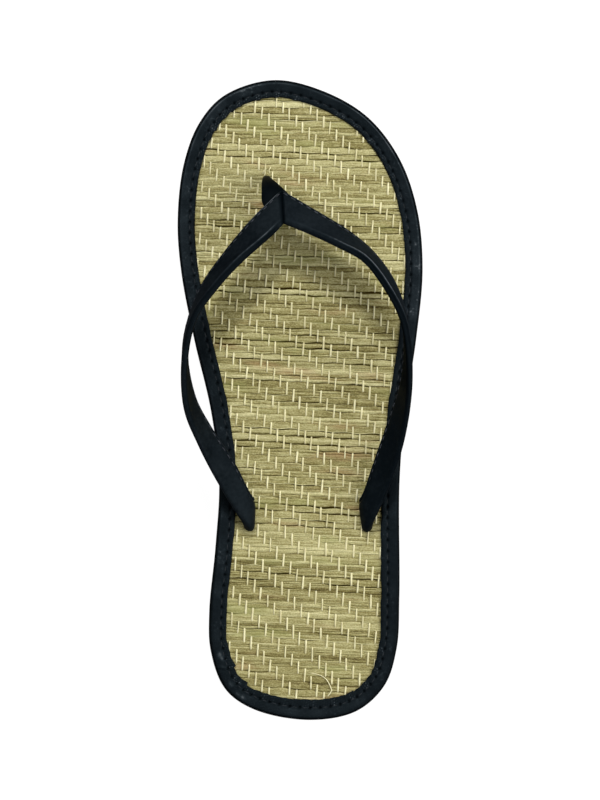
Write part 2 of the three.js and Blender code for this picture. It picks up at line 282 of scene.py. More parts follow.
def spline(knots: Array, at: Array, closed: bool) -> tuple[Array, Array]:
    """Smooth curve through knots.

    Between two knots it is a cubic whose end slopes come from the knots on either side, spaced by the square
    root of their distance (a centripetal Catmull-Rom curve).

    Args:
        knots: points, one row each.
        at: positions, counted in knots.
        closed: whether the last knot runs on to the first.

    Returns:
        The points at those positions, and the curve's slopes there.
    """
    count = len(knots)
    start = np.clip(np.floor(at).astype(int), 0, count - 1 if closed else count - 2)
    part = (at - start)[:, None]
    if closed:
        before, here, there, after = (knots[(start + step) % count] for step in (-1, 0, 1, 2))
    else:
        longer = np.vstack([2 * knots[:1] - knots[1:2], knots, 2 * knots[-1:] - knots[-2:-1]])
        before, here, there, after = (longer[start + step] for step in range(4))
    gap_0, gap_1, gap_2 = (
        np.sqrt(np.linalg.norm(b - a, axis=1, keepdims=True)).clip(1e-6)
        for a, b in ((before, here), (here, there), (there, after))
    )
    leave = ((here - before) / gap_0 - (there - before) / (gap_0 + gap_1)) * gap_1 + (there - here)
    arrive = (there - here) - ((after - here) / (gap_1 + gap_2) - (after - there) / gap_2) * gap_1
    square = 3 * (there - here) - 2 * leave - arrive
    cube = 2 * (here - there) + leave + arrive
    points = here + part * (leave + part * (square + part * cube))
    slopes = leave + part * (2 * square + 3 * part * cube)
    return points, slopes


@dataclass(frozen=True)
class SoleForm:
    """Outline and heights that every piece of the shoe shares."""

    length: float = 260.0
    heel_thickness: float = 12.4
    ball_thickness: float = 9.6
    taper_start: float = 60.0
    taper_end: float = 175.0
    toe_spring: float = 3.4
    toe_break: float = 206.0
    heel_lift: float = 1.0
    heel_break: float = 9.0
    mat_top: float = 3.3
    dense: int = 1400
    end_turn: float = 0.004

    def edge(self, count: int) -> tuple[Array, Array]:
        """Points spaced evenly round the outer edge, clockwise from the heel end.

        Args:
            count: how many points.

        Returns:
            Points in plan, and the unit vectors that point inward there.
        """
        knots = np.array([(mark.across, mark.along - self.length / 2) for mark in SOLE_EDGE])
        at = np.linspace(0.0, len(knots), 4 * self.dense + 1)
        fine, _ = spline(knots, at, True)
        run = lengths(fine)
        even = np.interp(np.linspace(0.0, run[-1], count, endpoint=False), run, at)
        points, slopes = spline(knots, even, True)
        ahead = unit(slopes)
        return points, np.stack([ahead[:, 1], -ahead[:, 0]], axis=1)

    def perimeter(self) -> float:
        """Length of the outer edge."""
        points, _ = self.edge(self.dense)
        return float(np.linalg.norm(points - np.roll(points, -1, axis=0), axis=1).sum())

    def ground(self, y: Array) -> Array:
        """Height of the underside: flat, with a lift that grows as the square towards toe and heel ends.

        Args:
            y: places along the shoe.

        Returns:
            Heights above the floor.
        """
        along = y + self.length / 2
        toe = np.maximum(0.0, (along - self.toe_break) / (self.length - self.toe_break))
        heel = np.maximum(0.0, (self.heel_break - along) / self.heel_break)
        return self.toe_spring * toe**2 + self.heel_lift * heel**2

    def deck(self, y: Array) -> Array:
        """Height of the outsole's top: the underside plus a thickness that eases from heel to ball."""
        taper = ease(y + self.length / 2, self.taper_start, self.taper_end)
        return self.ground(y) + self.heel_thickness + (self.ball_thickness - self.heel_thickness) * taper

    def footbed(self, y: Array) -> Array:
        """Height of the mat's reed crests."""
        return self.deck(y) + self.mat_top

    def crossings(self, inset: float, level: Array, slope: Array) -> tuple[Array, Array]:
        """Where straight lines y = level - slope * x cross the edge moved inward.

        Args:
            inset: how far inside the outer edge.
            level: height of each line on the shoe's axis.
            slope: fall of each line per unit of x.

        Returns:
            Medial and lateral x of each line.
        """
        points, inward = self.edge(self.dense)
        loop = points + inset * inward
        after = np.roll(loop, -1, axis=0)
        here = loop[None, :, 1] + slope[:, None] * loop[None, :, 0] - level[:, None]
        there = after[None, :, 1] + slope[:, None] * after[None, :, 0] - level[:, None]
        crossed = (here < 0) != (there < 0)
        part = here / np.where(crossed, here - there, 1.0)
        x = loop[None, :, 0] + part * (after - loop)[None, :, 0]
        return np.where(crossed, x, np.inf).min(axis=1), np.where(crossed, x, -np.inf).max(axis=1)

    def rows(self, inset: float, count: int) -> tuple[Array, Array, Array]:
        """Cross lines of the edge moved inward, closer together where heel and toe turn.

        Args:
            inset: how far inside the outer edge.
            count: how many lines.

        Returns:
            y of each line, and its medial and lateral x.
        """
        points, inward = self.edge(self.dense)
        level = (points + inset * inward)[:, 1]
        part = (1.0 - np.cos(np.linspace(self.end_turn, math.pi - self.end_turn, count))) / 2.0
        y = level.min() + (level.max() - level.min()) * part
        medial, lateral = self.crossings(inset, y, np.zeros(count))
        return y, medial, lateral

    def inset_of(self, points: Array) -> Array:
        """Distance of plan points from the outer edge.

        Args:
            points: the points, one row each.

        Returns:
            Their distances, negative outside the edge.
        """
        edge, inward = self.edge(self.dense)
        nearest = ((points[:, None, :] - edge[None]) ** 2).sum(axis=2).argmin(axis=1)
        return ((points - edge[nearest]) * inward[nearest]).sum(axis=1)


class Piece:
    """One mesh in the making: grids of points in millimetres, joined into quads."""

    def __init__(self, name: str) -> None:
        """Starts an empty piece.

        Args:
            name: its object's name.
        """
        self.name = name
        self._points: list[Array] = []
        self._faces: list[Array] = []
        self._tones: list[Array] = []
        self._count = 0

    def grid(
        self,
        points: Array,
        wrap_rows: bool = False,
        wrap_columns: bool = False,
        flip: bool = False,
        tone: Array | float = 0.5,
    ) -> "Piece":
        """Adds one grid, or many alike; faces point along rows cross columns, or the other way if flipped.

        Args:
            points: array of (rows, columns, 3), or (grids, rows, columns, 3).
            wrap_rows: whether the last row joins the first.
            wrap_columns: whether the last column joins the first.
            flip: whether the faces point the other way.
            tone: shade from 0 to 1, of all, of each grid or of each point.

        Returns:
            The piece itself.
        """
        rows, columns = points.shape[-3:-1]
        grids = points.reshape(-1, rows * columns, 3)
        index = np.arange(rows * columns).reshape(rows, columns)
        if wrap_rows:
            index = np.vstack([index, index[:1]])
        if wrap_columns:
            index = np.hstack([index, index[:, :1]])
        corners = [index[:-1, :-1], index[1:, :-1], index[1:, 1:], index[:-1, 1:]]
        quads = np.stack(corners, axis=-1).reshape(-1, 4)
        if flip:
            quads = quads[:, ::-1]
        first = self._count + np.arange(len(grids)) * rows * columns
        self._faces.append((quads[None] + first[:, None, None]).reshape(-1, 4))
        self._points.append(grids.reshape(-1, 3))
        given = np.asarray(tone, dtype=float)
        given = given.reshape(len(grids), -1) if given.ndim else given
        self._tones.append(np.broadcast_to(given, grids.shape[:2]).reshape(-1))
        self._count += len(grids) * rows * columns
        return self

    def build(self, material: bpy.types.Material, slot: Slot, weld: bool = False) -> bpy.types.Object:
        """Makes the object, dresses it and puts it on the body.

        Args:
            material: its finish.
            slot: the record's material slot that it goes with; not used.
            weld: whether points that coincide, as at poles, are merged.

        Returns:
            The new object.
        """
        points = np.concatenate(self._points) * METRES
        faces = np.concatenate(self._faces)
        mesh = bpy.data.meshes.new(self.name)
        mesh.vertices.add(len(points))
        mesh.vertices.foreach_set("co", points.ravel())
        mesh.loops.add(faces.size)
        mesh.loops.foreach_set("vertex_index", faces.ravel().astype(np.int32))
        mesh.polygons.add(len(faces))
        mesh.polygons.foreach_set("loop_start", np.arange(0, faces.size, 4, dtype=np.int32))
        mesh.polygons.foreach_set("use_smooth", np.ones(len(faces), dtype=bool))
        tones = mesh.attributes.new(TONE, "FLOAT", "POINT")
        tones.data.foreach_set("value", np.concatenate(self._tones).astype(np.float32))
        mesh.update(calc_edges=True)
        if weld:
            shell = bmesh.new()
            shell.from_mesh(mesh)
            bmesh.ops.remove_doubles(shell, verts=shell.verts, dist=WELD_DISTANCE)
            bmesh.ops.dissolve_degenerate(shell, edges=shell.edges, dist=WELD_DISTANCE)
            shell.to_mesh(mesh)
            shell.free()
        mesh.validate()
        mesh.materials.append(material)
        made = bpy.data.objects.new(self.name, mesh)
        bpy.context.scene.collection.objects.link(made)
        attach(made, BODY)
        LOG.info("%s: %d faces", self.name, len(mesh.polygons))
        return made


def rods(start: Array, end: Array, up: Array, radius: float, bow: float) -> Array:
    """Short stitches: round rods that swell from nothing at both ends and bow upwards in the middle.

    Args:
        start: first end of each rod.
        end: last end of each rod.
        up: direction in which each bows.
        radius: half thickness in the middle.
        bow: rise of the middle.

    Returns:
        Grids of (rods, rows, columns, 3); columns run round the rod.
    """
    part = np.linspace(0.0, 1.0, ROD_ROWS)
    angle = np.linspace(0.0, TURN, ROD_COLUMNS, endpoint=False)
    swell = radius * np.sqrt(np.clip(1.0 - (2.0 * part - 1.0) ** 4, 0.0, 1.0))
    axis = unit(end - start)
    side = unit(np.cross(axis, up))
    top = np.cross(side, axis)
    line = start[:, None] + (end - start)[:, None] * part[None, :, None]
    line = line + up[:, None] * (bow * np.sin(math.pi * part))[None, :, None]
    round_side = side[:, None, None] * (np.cos(angle)[None, None, :, None] * swell[None, :, None, None])
    round_top = top[:, None, None] * (np.sin(angle)[None, None, :, None] * swell[None, :, None, None])
    return line[:, :, None] + round_side + round_top


def tube(path: Array, radius: float, samples: int) -> Array:
    """Thin thread: a circle carried along a smooth curve through the path's points, closed at both ends.

    Args:
        path: points of the route.
        radius: half thickness.
        samples: circles along the curve.

    Returns:
        One grid of (samples, columns, 3); columns run round the thread.
    """
    line, slope = spline(path, np.linspace(0.0, len(path) - 1.0, samples), False)
    ahead = unit(slope)
    side = unit(np.cross(ahead, ASKEW))
    top = np.cross(side, ahead)
    angle = np.linspace(0.0, TURN, THREAD_COLUMNS, endpoint=False)[None, :, None]
    thick = np.full((samples, 1, 1), radius)
    thick[[0, -1]] = 0.0
    return line[:, None] + thick * (side[:, None] * np.cos(angle) + top[:, None] * np.sin(angle))


class Wire:
    """A shader value that takes part in Python arithmetic; each operation adds a Math node."""

    def __init__(self, board: "Board", socket: bpy.types.NodeSocket) -> None:
        """Wraps an output socket of a board's node."""
        self.board = board
        self.socket = socket

    def _math(self, operation: str, first: Any, second: Any) -> "Wire":
        """Adds one Math node for two values, either of which may be a number."""
        return self.board.wire("ShaderNodeMath", {"operation": operation}, {0: first, 1: second})

    def __add__(self, other: "Wire | float") -> "Wire":
        """Sum."""
        return self._math("ADD", self, other)

    __radd__ = __add__

    def __mul__(self, other: "Wire | float") -> "Wire":
        """Product."""
        return self._math("MULTIPLY", self, other)

    __rmul__ = __mul__

    def __sub__(self, other: "Wire | float") -> "Wire":
        """Difference."""
        return self._math("SUBTRACT", self, other)

    def __rsub__(self, other: float) -> "Wire":
        """Difference from a number."""
        return self._math("SUBTRACT", other, self)

    def about(self, size: float) -> "Wire":
        """A pattern from 0 to 1 turned into a swing to either side of zero."""
        return size * (self - 0.5)

    def between(self, low: float, high: float) -> "Wire":
        """Rises smoothly from zero at low to one at high."""
        inputs = {"Value": self, "From Min": low, "From Max": high}
        return self.board.wire("ShaderNodeMapRange", {"interpolation_type": "SMOOTHSTEP"}, inputs)


class Board:
    """Node tree of one material."""

    def __init__(self, name: str) -> None:
        """Starts an empty material.

        Args:
            name: the material's name.
        """
        self.material = bpy.data.materials.new(name)
        self.material.use_nodes = True
        self.tree = self.material.node_tree
        self.tree.nodes.clear()

    def node(self, kind: str, settings: dict[str, Any], inputs: dict[Any, Any]) -> bpy.types.Node:
        """Adds a node.

        Args:
            kind: the node's type.
            settings: its properties, or the stops of its ramp, set first.
            inputs: values or wires for its sockets, by name or number.

        Returns:
            The new node.
        """
        made = self.tree.nodes.new(kind)
        for key, value in settings.items():
            if key == "stops":
                self._set_stops(made.color_ramp, value)
            else:
                setattr(made, key, value)
        for key, value in inputs.items():
            if isinstance(value, Wire):
                self.tree.links.new(value.socket, made.inputs[key])
            else:
                made.inputs[key].default_value = value
        return made

    @staticmethod
    def _set_stops(ramp: bpy.types.ColorRamp, stops: Stops) -> None:
        """Gives a ramp its stops.

        Args:
            ramp: the ramp of a new node, which has two stops.
            stops: position and colour of each.
        """
        while len(ramp.elements) < len(stops):
            ramp.elements.new(0.5)
        for element, (position, shade) in zip(ramp.elements, stops):
            element.position = position
            element.color = shade

    def wire(
        self, kind: str, settings: dict[str, Any], inputs: dict[Any, Any], output: str | int = 0
    ) -> Wire:
        """Adds a node and wraps one of its outputs."""
        return Wire(self, self.node(kind, settings, inputs).outputs[output])

    def tone(self) -> Wire:
        """Shade of the mesh's points."""
        return self.wire("ShaderNodeAttribute", {"attribute_name": TONE}, {}, "Fac")

    def place(self, scale: float | Triple, turn: float = 0.0) -> Wire:
        """Object coordinates, turned about the upright and scaled.

        Args:
            scale: one scale for all axes, or one for each.
            turn: angle of the turn.

        Returns:
            The coordinates.
        """
        spot = self.wire("ShaderNodeTexCoord", {}, {}, "Object")
        turned = self.wire("ShaderNodeMapping", {}, {"Vector": spot, "Rotation": (0.0, 0.0, turn)})
        scales = scale if isinstance(scale, tuple) else (scale, scale, scale)
        return self.wire("ShaderNodeVectorMath", {"operation": "MULTIPLY"}, {0: turned, 1: scales})

    def noise(self, scale: float | Triple, detail: float = 2.0, turn: float = 0.0) -> Wire:
        """Smooth noise from 0 to 1 on turned and scaled coordinates."""
        inputs = {"Vector": self.place(scale, turn), "Scale": 1.0, "Detail": detail}
        return self.wire("ShaderNodeTexNoise", {}, inputs)

    def cells(self, scale: float) -> Wire:
        """Distances in a cell pattern."""
        return self.wire("ShaderNodeTexVoronoi", {}, {"Vector": self.place(scale), "Scale": 1.0}, "Distance")

    def ramp(self, value: Wire, stops: Stops) -> Wire:
        """Colour looked up along stops."""
        return self.wire("ShaderNodeValToRGB", {"stops": stops}, {"Fac": value})

    def mixed(self, factor: Wire, first: Any, second: Any) -> Wire:
        """Mix of two colours."""
        return self.wire("ShaderNodeMix", {"data_type": "RGBA"}, {0: factor, 6: first, 7: second}, 2)

    def bump(self, height: Wire, strength: float, depth: float) -> Wire:
        """Normal roughened by a height; depth is in millimetres."""
        inputs = {"Height": height, "Strength": strength, "Distance": depth * METRES}
        return self.wire("ShaderNodeBump", {}, inputs)

    def surface(self, **sockets: Any) -> bpy.types.Material:
        """Ends the tree with a Principled shader.

        Args:
            sockets: its values or wires, by socket name with underscores for spaces.

        Returns:
            The finished material.
        """
        named = {key.replace("_", " "): value for key, value in sockets.items()}
        shader = self.wire("ShaderNodeBsdfPrincipled", {}, named)
        self.node("ShaderNodeOutputMaterial", {}, {"Surface": shader})
        return self.material


@dataclass(frozen=True)
class Finish:
    """What the finishes share: roughness and its swing, gloss, and strength and depth of the relief."""

    roughness: Pair
    gloss: float
    relief: Pair

    def rough(self, pattern: Wire) -> Wire:
        """Roughness that grows with a pattern."""
        return self.roughness[0] + self.roughness[1] * pattern

    def dress(self, board: Board, tint: Wire, rough: Wire, height: Wire, **more: Any) -> bpy.types.Material:
        """Ends a board with this finish.

        Args:
            board: the material's nodes.
            tint: its colour.
            rough: its roughness.
            height: the pattern that its relief follows.
            more: further values, by socket name with underscores for spaces.

        Returns:
            The finished material.
        """
        normal = board.bump(height, *self.relief)
        shared = {"Roughness": rough, "Specular_IOR_Level": self.gloss, "Normal": normal}
        return board.surface(Base_Color=tint, **shared, **more)


@dataclass(frozen=True)
class ReedFinish(Finish):
    """Split dried reeds: straw to olive, streaked along their length, satin."""

    roughness: Pair = (0.5, 0.25)
    gloss: float = 0.2
    relief: Pair = (0.3, 0.1)
    shades: Stops = (
        (0.0, colour(74, 62, 26)),
        (0.3, colour(126, 117, 68)),
        (0.55, colour(158, 151, 102)),
        (1.0, colour(206, 200, 152)),
    )
    brown: Colour = colour(158, 126, 88)
    brown_edge: Pair = (0.6, 0.78)
    brown_share: float = 0.5
    green: Colour = colour(146, 148, 88)
    green_edge: Pair = (0.55, 0.75)
    green_share: float = 0.45
    slant: float = math.radians(3.4)
    streaks: Triple = (24.0, 1700.0, 300.0)
    streak_tone: float = 0.85
    patches: Triple = (70.0, 300.0, 100.0)
    patch_tone: float = 0.5
    fibres: Triple = (330.0, 2400.0, 900.0)
    fibre_tone: float = 0.6
    grains: Triple = (1500.0, 2400.0, 900.0)
    grain_tone: float = 1.0
    ages: Triple = (28.0, 130.0, 60.0)

    def material(self) -> bpy.types.Material:
        """Shade per reed, moved by fine streaks and longer patches, some browned and some still green.

        Returns:
            The material.
        """
        board = Board("split_reed")
        scales = (self.streaks, self.patches, self.fibres, self.grains, self.ages)
        streak, patch, fibre, grain, age = (board.noise(scale, turn=self.slant) for scale in scales)
        broad = streak.about(self.streak_tone) + patch.about(self.patch_tone)
        shade = board.tone() + broad + fibre.about(self.fibre_tone) + grain.about(self.grain_tone)
        straw = board.ramp(shade, self.shades)
        aged = board.mixed(age.between(*self.brown_edge) * self.brown_share, straw, self.brown)
        fresh = (1.0 - age).between(*self.green_edge) * self.green_share
        return self.dress(board, board.mixed(fresh, aged, self.green), self.rough(streak), streak)


@dataclass(frozen=True)
class ThreadFinish(Finish):
    """Cream cotton warp thread: soft, slightly uneven."""

    roughness: Pair = (0.75, 0.2)
    gloss: float = 0.15
    relief: Pair = (0.5, 0.12)
    pale: Colour = colour(234, 228, 186)
    dull: Colour = colour(208, 200, 154)
    fibres: Triple = (3500.0, 900.0, 3500.0)
    patches: float = 200.0
    patch_edge: Pair = (0.3, 0.75)

    def material(self) -> bpy.types.Material:
        """Two creams mixed by noise, with a fine fibre bump.

        Returns:
            The material.
        """
        board = Board("cotton_warp")
        fibre = board.noise(self.fibres, detail=3.0)
        patch = board.noise(self.patches)
        tint = board.mixed(patch.between(*self.patch_edge), self.pale, self.dull)
        return self.dress(board, tint, self.rough(fibre), fibre)


@dataclass(frozen=True)
class BedFinish(Finish):
    """Dark plate under the reeds of the mat, coloured as the painted shade in the gaps between them."""

    roughness: Pair = (0.7, 0.2)
    gloss: float = 0.02
    relief: Pair = (0.4, 0.2)
    dark: Colour = colour(40, 30, 4)
    light: Colour = colour(70, 56, 14)
    slant: float = math.radians(3.4)
    streaks: Triple = (60.0, 1300.0, 600.0)
    streak_edge: Pair = (0.35, 0.7)

    def material(self) -> bpy.types.Material:
        """Dark straw as painted shade in the gaps between reeds, streaked along the rows.

        Returns:
            The material.
        """
        board = Board("mat_bed_shade")
        streak = board.noise(self.streaks, detail=3.0, turn=self.slant)
        tint = board.mixed(streak.between(*self.streak_edge), self.dark, self.light)
        return self.dress(board, tint, self.rough(streak), streak)


@dataclass(frozen=True)
class TapeFinish(Finish):
    """Grained vinyl tape: bluish black, fine pebbled, with a painted highlight along its rim and on its
    gathers.
    """

    roughness: Pair = (0.45, 0.15)
    gloss: float = 0.09
    relief: Pair = (0.55, 0.14)
    shades: Stops = (
        (0.0, colour(2, 4, 6)),
        (0.4, colour(11, 16, 20)),
        (0.7, colour(30, 36, 40)),
        (1.0, colour(84, 89, 92)),
    )
    sheen: Colour = (0.65, 0.9, 1.0, 1.0)
    pebbles: float = 1900.0
    grains: float = 5200.0
    grain_tone: float = 0.6
    grain_rough: float = 0.08
    grain_relief: float = 0.5
    wears: float = 150.0
    wear_edge: Pair = (0.42, 0.72)
    # Lightening by blotches, partly wear and partly painted highlight.
    wear_and_highlight_tone: float = 0.6
    scuffs: float = 800.0
    scuff_edge: Pair = (0.42, 0.85)

    def material(self) -> bpy.types.Material:
        """Pebbles from a cell pattern; the tone, and blotches that are partly wear and partly painted
        highlight, lighten the colour, and wear dulls the gloss.

        Returns:
            The material.
        """
        board = Board("grained_tape")
        pebble = board.cells(self.pebbles)
        grain = board.noise(self.grains, detail=3.0)
        wear = board.noise(self.wears, detail=4.0).between(*self.wear_edge)
        scuff = board.noise(self.scuffs, detail=3.0).between(*self.scuff_edge)
        shade = board.tone() + grain.about(self.grain_tone) + self.wear_and_highlight_tone * wear * scuff
        rough = self.rough(wear) + self.grain_rough * grain
        height = pebble + self.grain_relief * grain
        return self.dress(board, board.ramp(shade, self.shades), rough, height, Specular_Tint=self.sheen)


@dataclass(frozen=True)
class StrapFinish(Finish):
    """Smooth vinyl of the strap: bluish black, satin, with a fine grain and painted highlights on its ridges.
    """

    roughness: Pair = (0.42, 0.14)
    gloss: float = 0.03
    relief: Pair = (0.18, 0.08)
    shades: Stops = (
        (0.0, colour(1, 3, 5)),
        (0.4, colour(8, 13, 17)),
        (0.7, colour(28, 34, 38)),
        (1.0, colour(92, 97, 101)),
    )
    sheen: Colour = (0.65, 0.9, 1.0, 1.0)
    grains: float = 2900.0
    clouds: float = 120.0
    cloud_tone: float = 0.22
    cloud_relief: float = 1.5
    scuffs: float = 700.0
    scuff_tone: float = 0.3
    dull_edge: Pair = (0.02, 0.2)
    dull_rough: float = 0.44

    def material(self) -> bpy.types.Material:
        """The mesh's tone, with its painted highlights and shade, gives the colour and dulls the darkest
        places; a fine grain lies over faint clouds.

        Returns:
            The material.
        """
        board = Board("strap_vinyl")
        tone = board.tone()
        grain = board.cells(self.grains)
        cloud = board.noise(self.clouds, detail=4.0)
        scuff = board.noise(self.scuffs, detail=3.0)
        shade = tone + cloud.about(self.cloud_tone) + scuff.about(self.scuff_tone)
        rough = self.rough(cloud) + self.dull_rough * (1.0 - tone.between(*self.dull_edge))
        height = grain + self.cloud_relief * cloud
        return self.dress(board, board.ramp(shade, self.shades), rough, height, Specular_Tint=self.sheen)


@dataclass(frozen=True)
class StitchFinish(Finish):
    """Black sewing thread."""

    roughness: Pair = (0.55, 0.2)
    gloss: float = 0.3
    relief: Pair = (0.5, 0.1)
    name: str = "strap_thread"
    base: Colour = colour(30, 34, 40)
    glint: Colour = colour(92, 97, 106)
    strands: float = 2600.0
    strand_edge: Pair = (0.45, 0.8)

    def material(self) -> bpy.types.Material:
        """Dark thread and a painted glint mixed by fine noise, as its twist shows.

        Returns:
            The material.
        """
        board = Board(self.name)
        strand = board.noise(self.strands)
        tint = board.mixed(strand.between(*self.strand_edge), self.base, self.glint)
        return self.dress(board, tint, self.rough(strand), strand)


@dataclass(frozen=True)
class FoamFinish(Finish):
    """Closed-cell foam: matt black with tiny pores."""

    roughness: Pair = (0.78, 0.15)
    gloss: float = 0.25
    relief: Pair = (0.35, 0.18)
    base: Colour = colour(24, 25, 28)
    dusty: Colour = colour(48, 49, 52)
    pores: float = 1500.0
    dusts: float = 260.0
    dust_edge: Pair = (0.5, 0.85)

    def material(self) -> bpy.types.Material:
        """Pores from a cell pattern, and a faint dusting.

        Returns:
            The material.
        """
        board = Board("sole_foam")
        pores = board.cells(self.pores)
        dust = board.noise(self.dusts, detail=5.0)
        tint = board.mixed(dust.between(*self.dust_edge), self.base, self.dusty)
        return self.dress(board, tint, self.rough(dust), pores + dust)


@dataclass(frozen=True)
class FloorFinish:
    """Pale matt paper that glows, so that it stays even."""

    pale: Colour = colour(94, 94, 94)
    dull: Colour = colour(90, 90, 90)
    clouds: float = 30.0
    roughness: float = 0.9
    gloss: float = 0.05
    white: Colour = colour(255, 255, 255)
    glow: float = 0.97

    def material(self) -> bpy.types.Material:
        """Two greys mixed by noise, under an even glow.

        Returns:
            The material.
        """
        board = Board("studio_floor")
        return board.surface(
            Base_Color=board.mixed(board.noise(self.clouds, detail=3.0), self.pale, self.dull),
            Roughness=self.roughness,
            Specular_IOR_Level=self.gloss,
            Emission_Color=self.white,
            Emission_Strength=self.glow,
        )


@dataclass
class Outsole:
    """Foam sole with a bevelled lower edge, a plain wall and a wavy tread."""

    form: SoleForm
    inset: float = 0.5
    bevel_inset: float = 1.2
    wall_levels: tuple[float, ...] = (1.4, 3.2, 6.0)
    wall_room: float = 0.5
    rim_drop: float = 0.25
    rim_tuck: float = 0.3
    stations: int = 460
    columns: int = 84
    tread_pitch: float = 6.4
    tread_depth: float = 0.8
    tread_wave: float = 2.4
    tread_wave_length: float = 17.0
    tread_groove: Pair = (0.1, 0.22)
    tread_border: float = 5.0
    tread_fade: float = 1.5

    def tread(self, x: Array, y: Array, border: Array) -> Array:
        """Depth of the tread: grooves across the foot that follow a sine, faded out near the border.

        Args:
            x: places across the foot.
            y: places along it.
            border: distance from the edge of the underside.

        Returns:
            How far the surface is set back.
        """
        swing = self.tread_wave * np.sin(TURN * x / self.tread_wave_length)
        phase = np.abs((y + swing) / self.tread_pitch % 1.0 - 0.5)
        groove = 1.0 - ease(phase, *self.tread_groove)
        inner = ease(border, self.tread_border - self.tread_fade, self.tread_border)
        return self.tread_depth * groove * inner

    def build(self) -> bpy.types.Object:
        """Lofts closed cross sections from heel to toe: underside, bevel, wall and top.

        Returns:
            The sole's object.
        """
        form = self.form
        y, medial, lateral = (a[:, None] for a in form.rows(self.inset + self.bevel_inset, self.stations))
        part = np.linspace(0.0, 1.0, self.columns)[None, :]
        x = medial + (lateral - medial) * part
        tips = np.minimum(y - y.min(), y.max() - y)
        border = np.minimum(np.minimum(x - medial, lateral - x), tips)
        under = sheet(x, y, form.ground(y) + self.tread(x, y, border))
        y, medial, lateral = (a[:, None] for a in form.rows(self.inset, self.stations))
        deck = form.deck(y)
        level = np.minimum(form.ground(y) + np.array(self.wall_levels), deck - self.wall_room)
        wall = np.concatenate([level, deck - self.rim_drop, deck], axis=1)
        levels = wall.shape[1]
        tuck = np.array([0.0] * (levels - 1) + [self.rim_tuck])
        right = sheet(lateral - tuck, y, wall)
        left = sheet(medial + tuck, y, wall)[:, ::-1]
        made = Piece("foam_sole").grid(np.concatenate([under, right, left], axis=1), wrap_columns=True)
        share = np.repeat(part, levels, axis=0)[:, :, None]
        share[-1] = np.round(share[-1])
        for end, flip in ((0, True), (-1, False)):
            near, far = left[end, ::-1, None], right[end, :, None]
            made.grid(np.concatenate([under[end, None], near + (far - near) * share]), flip=flip)
        sole = made.build(FoamFinish().material(), Slot.FOAM, weld=True)
        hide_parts("outsole")
        return sole


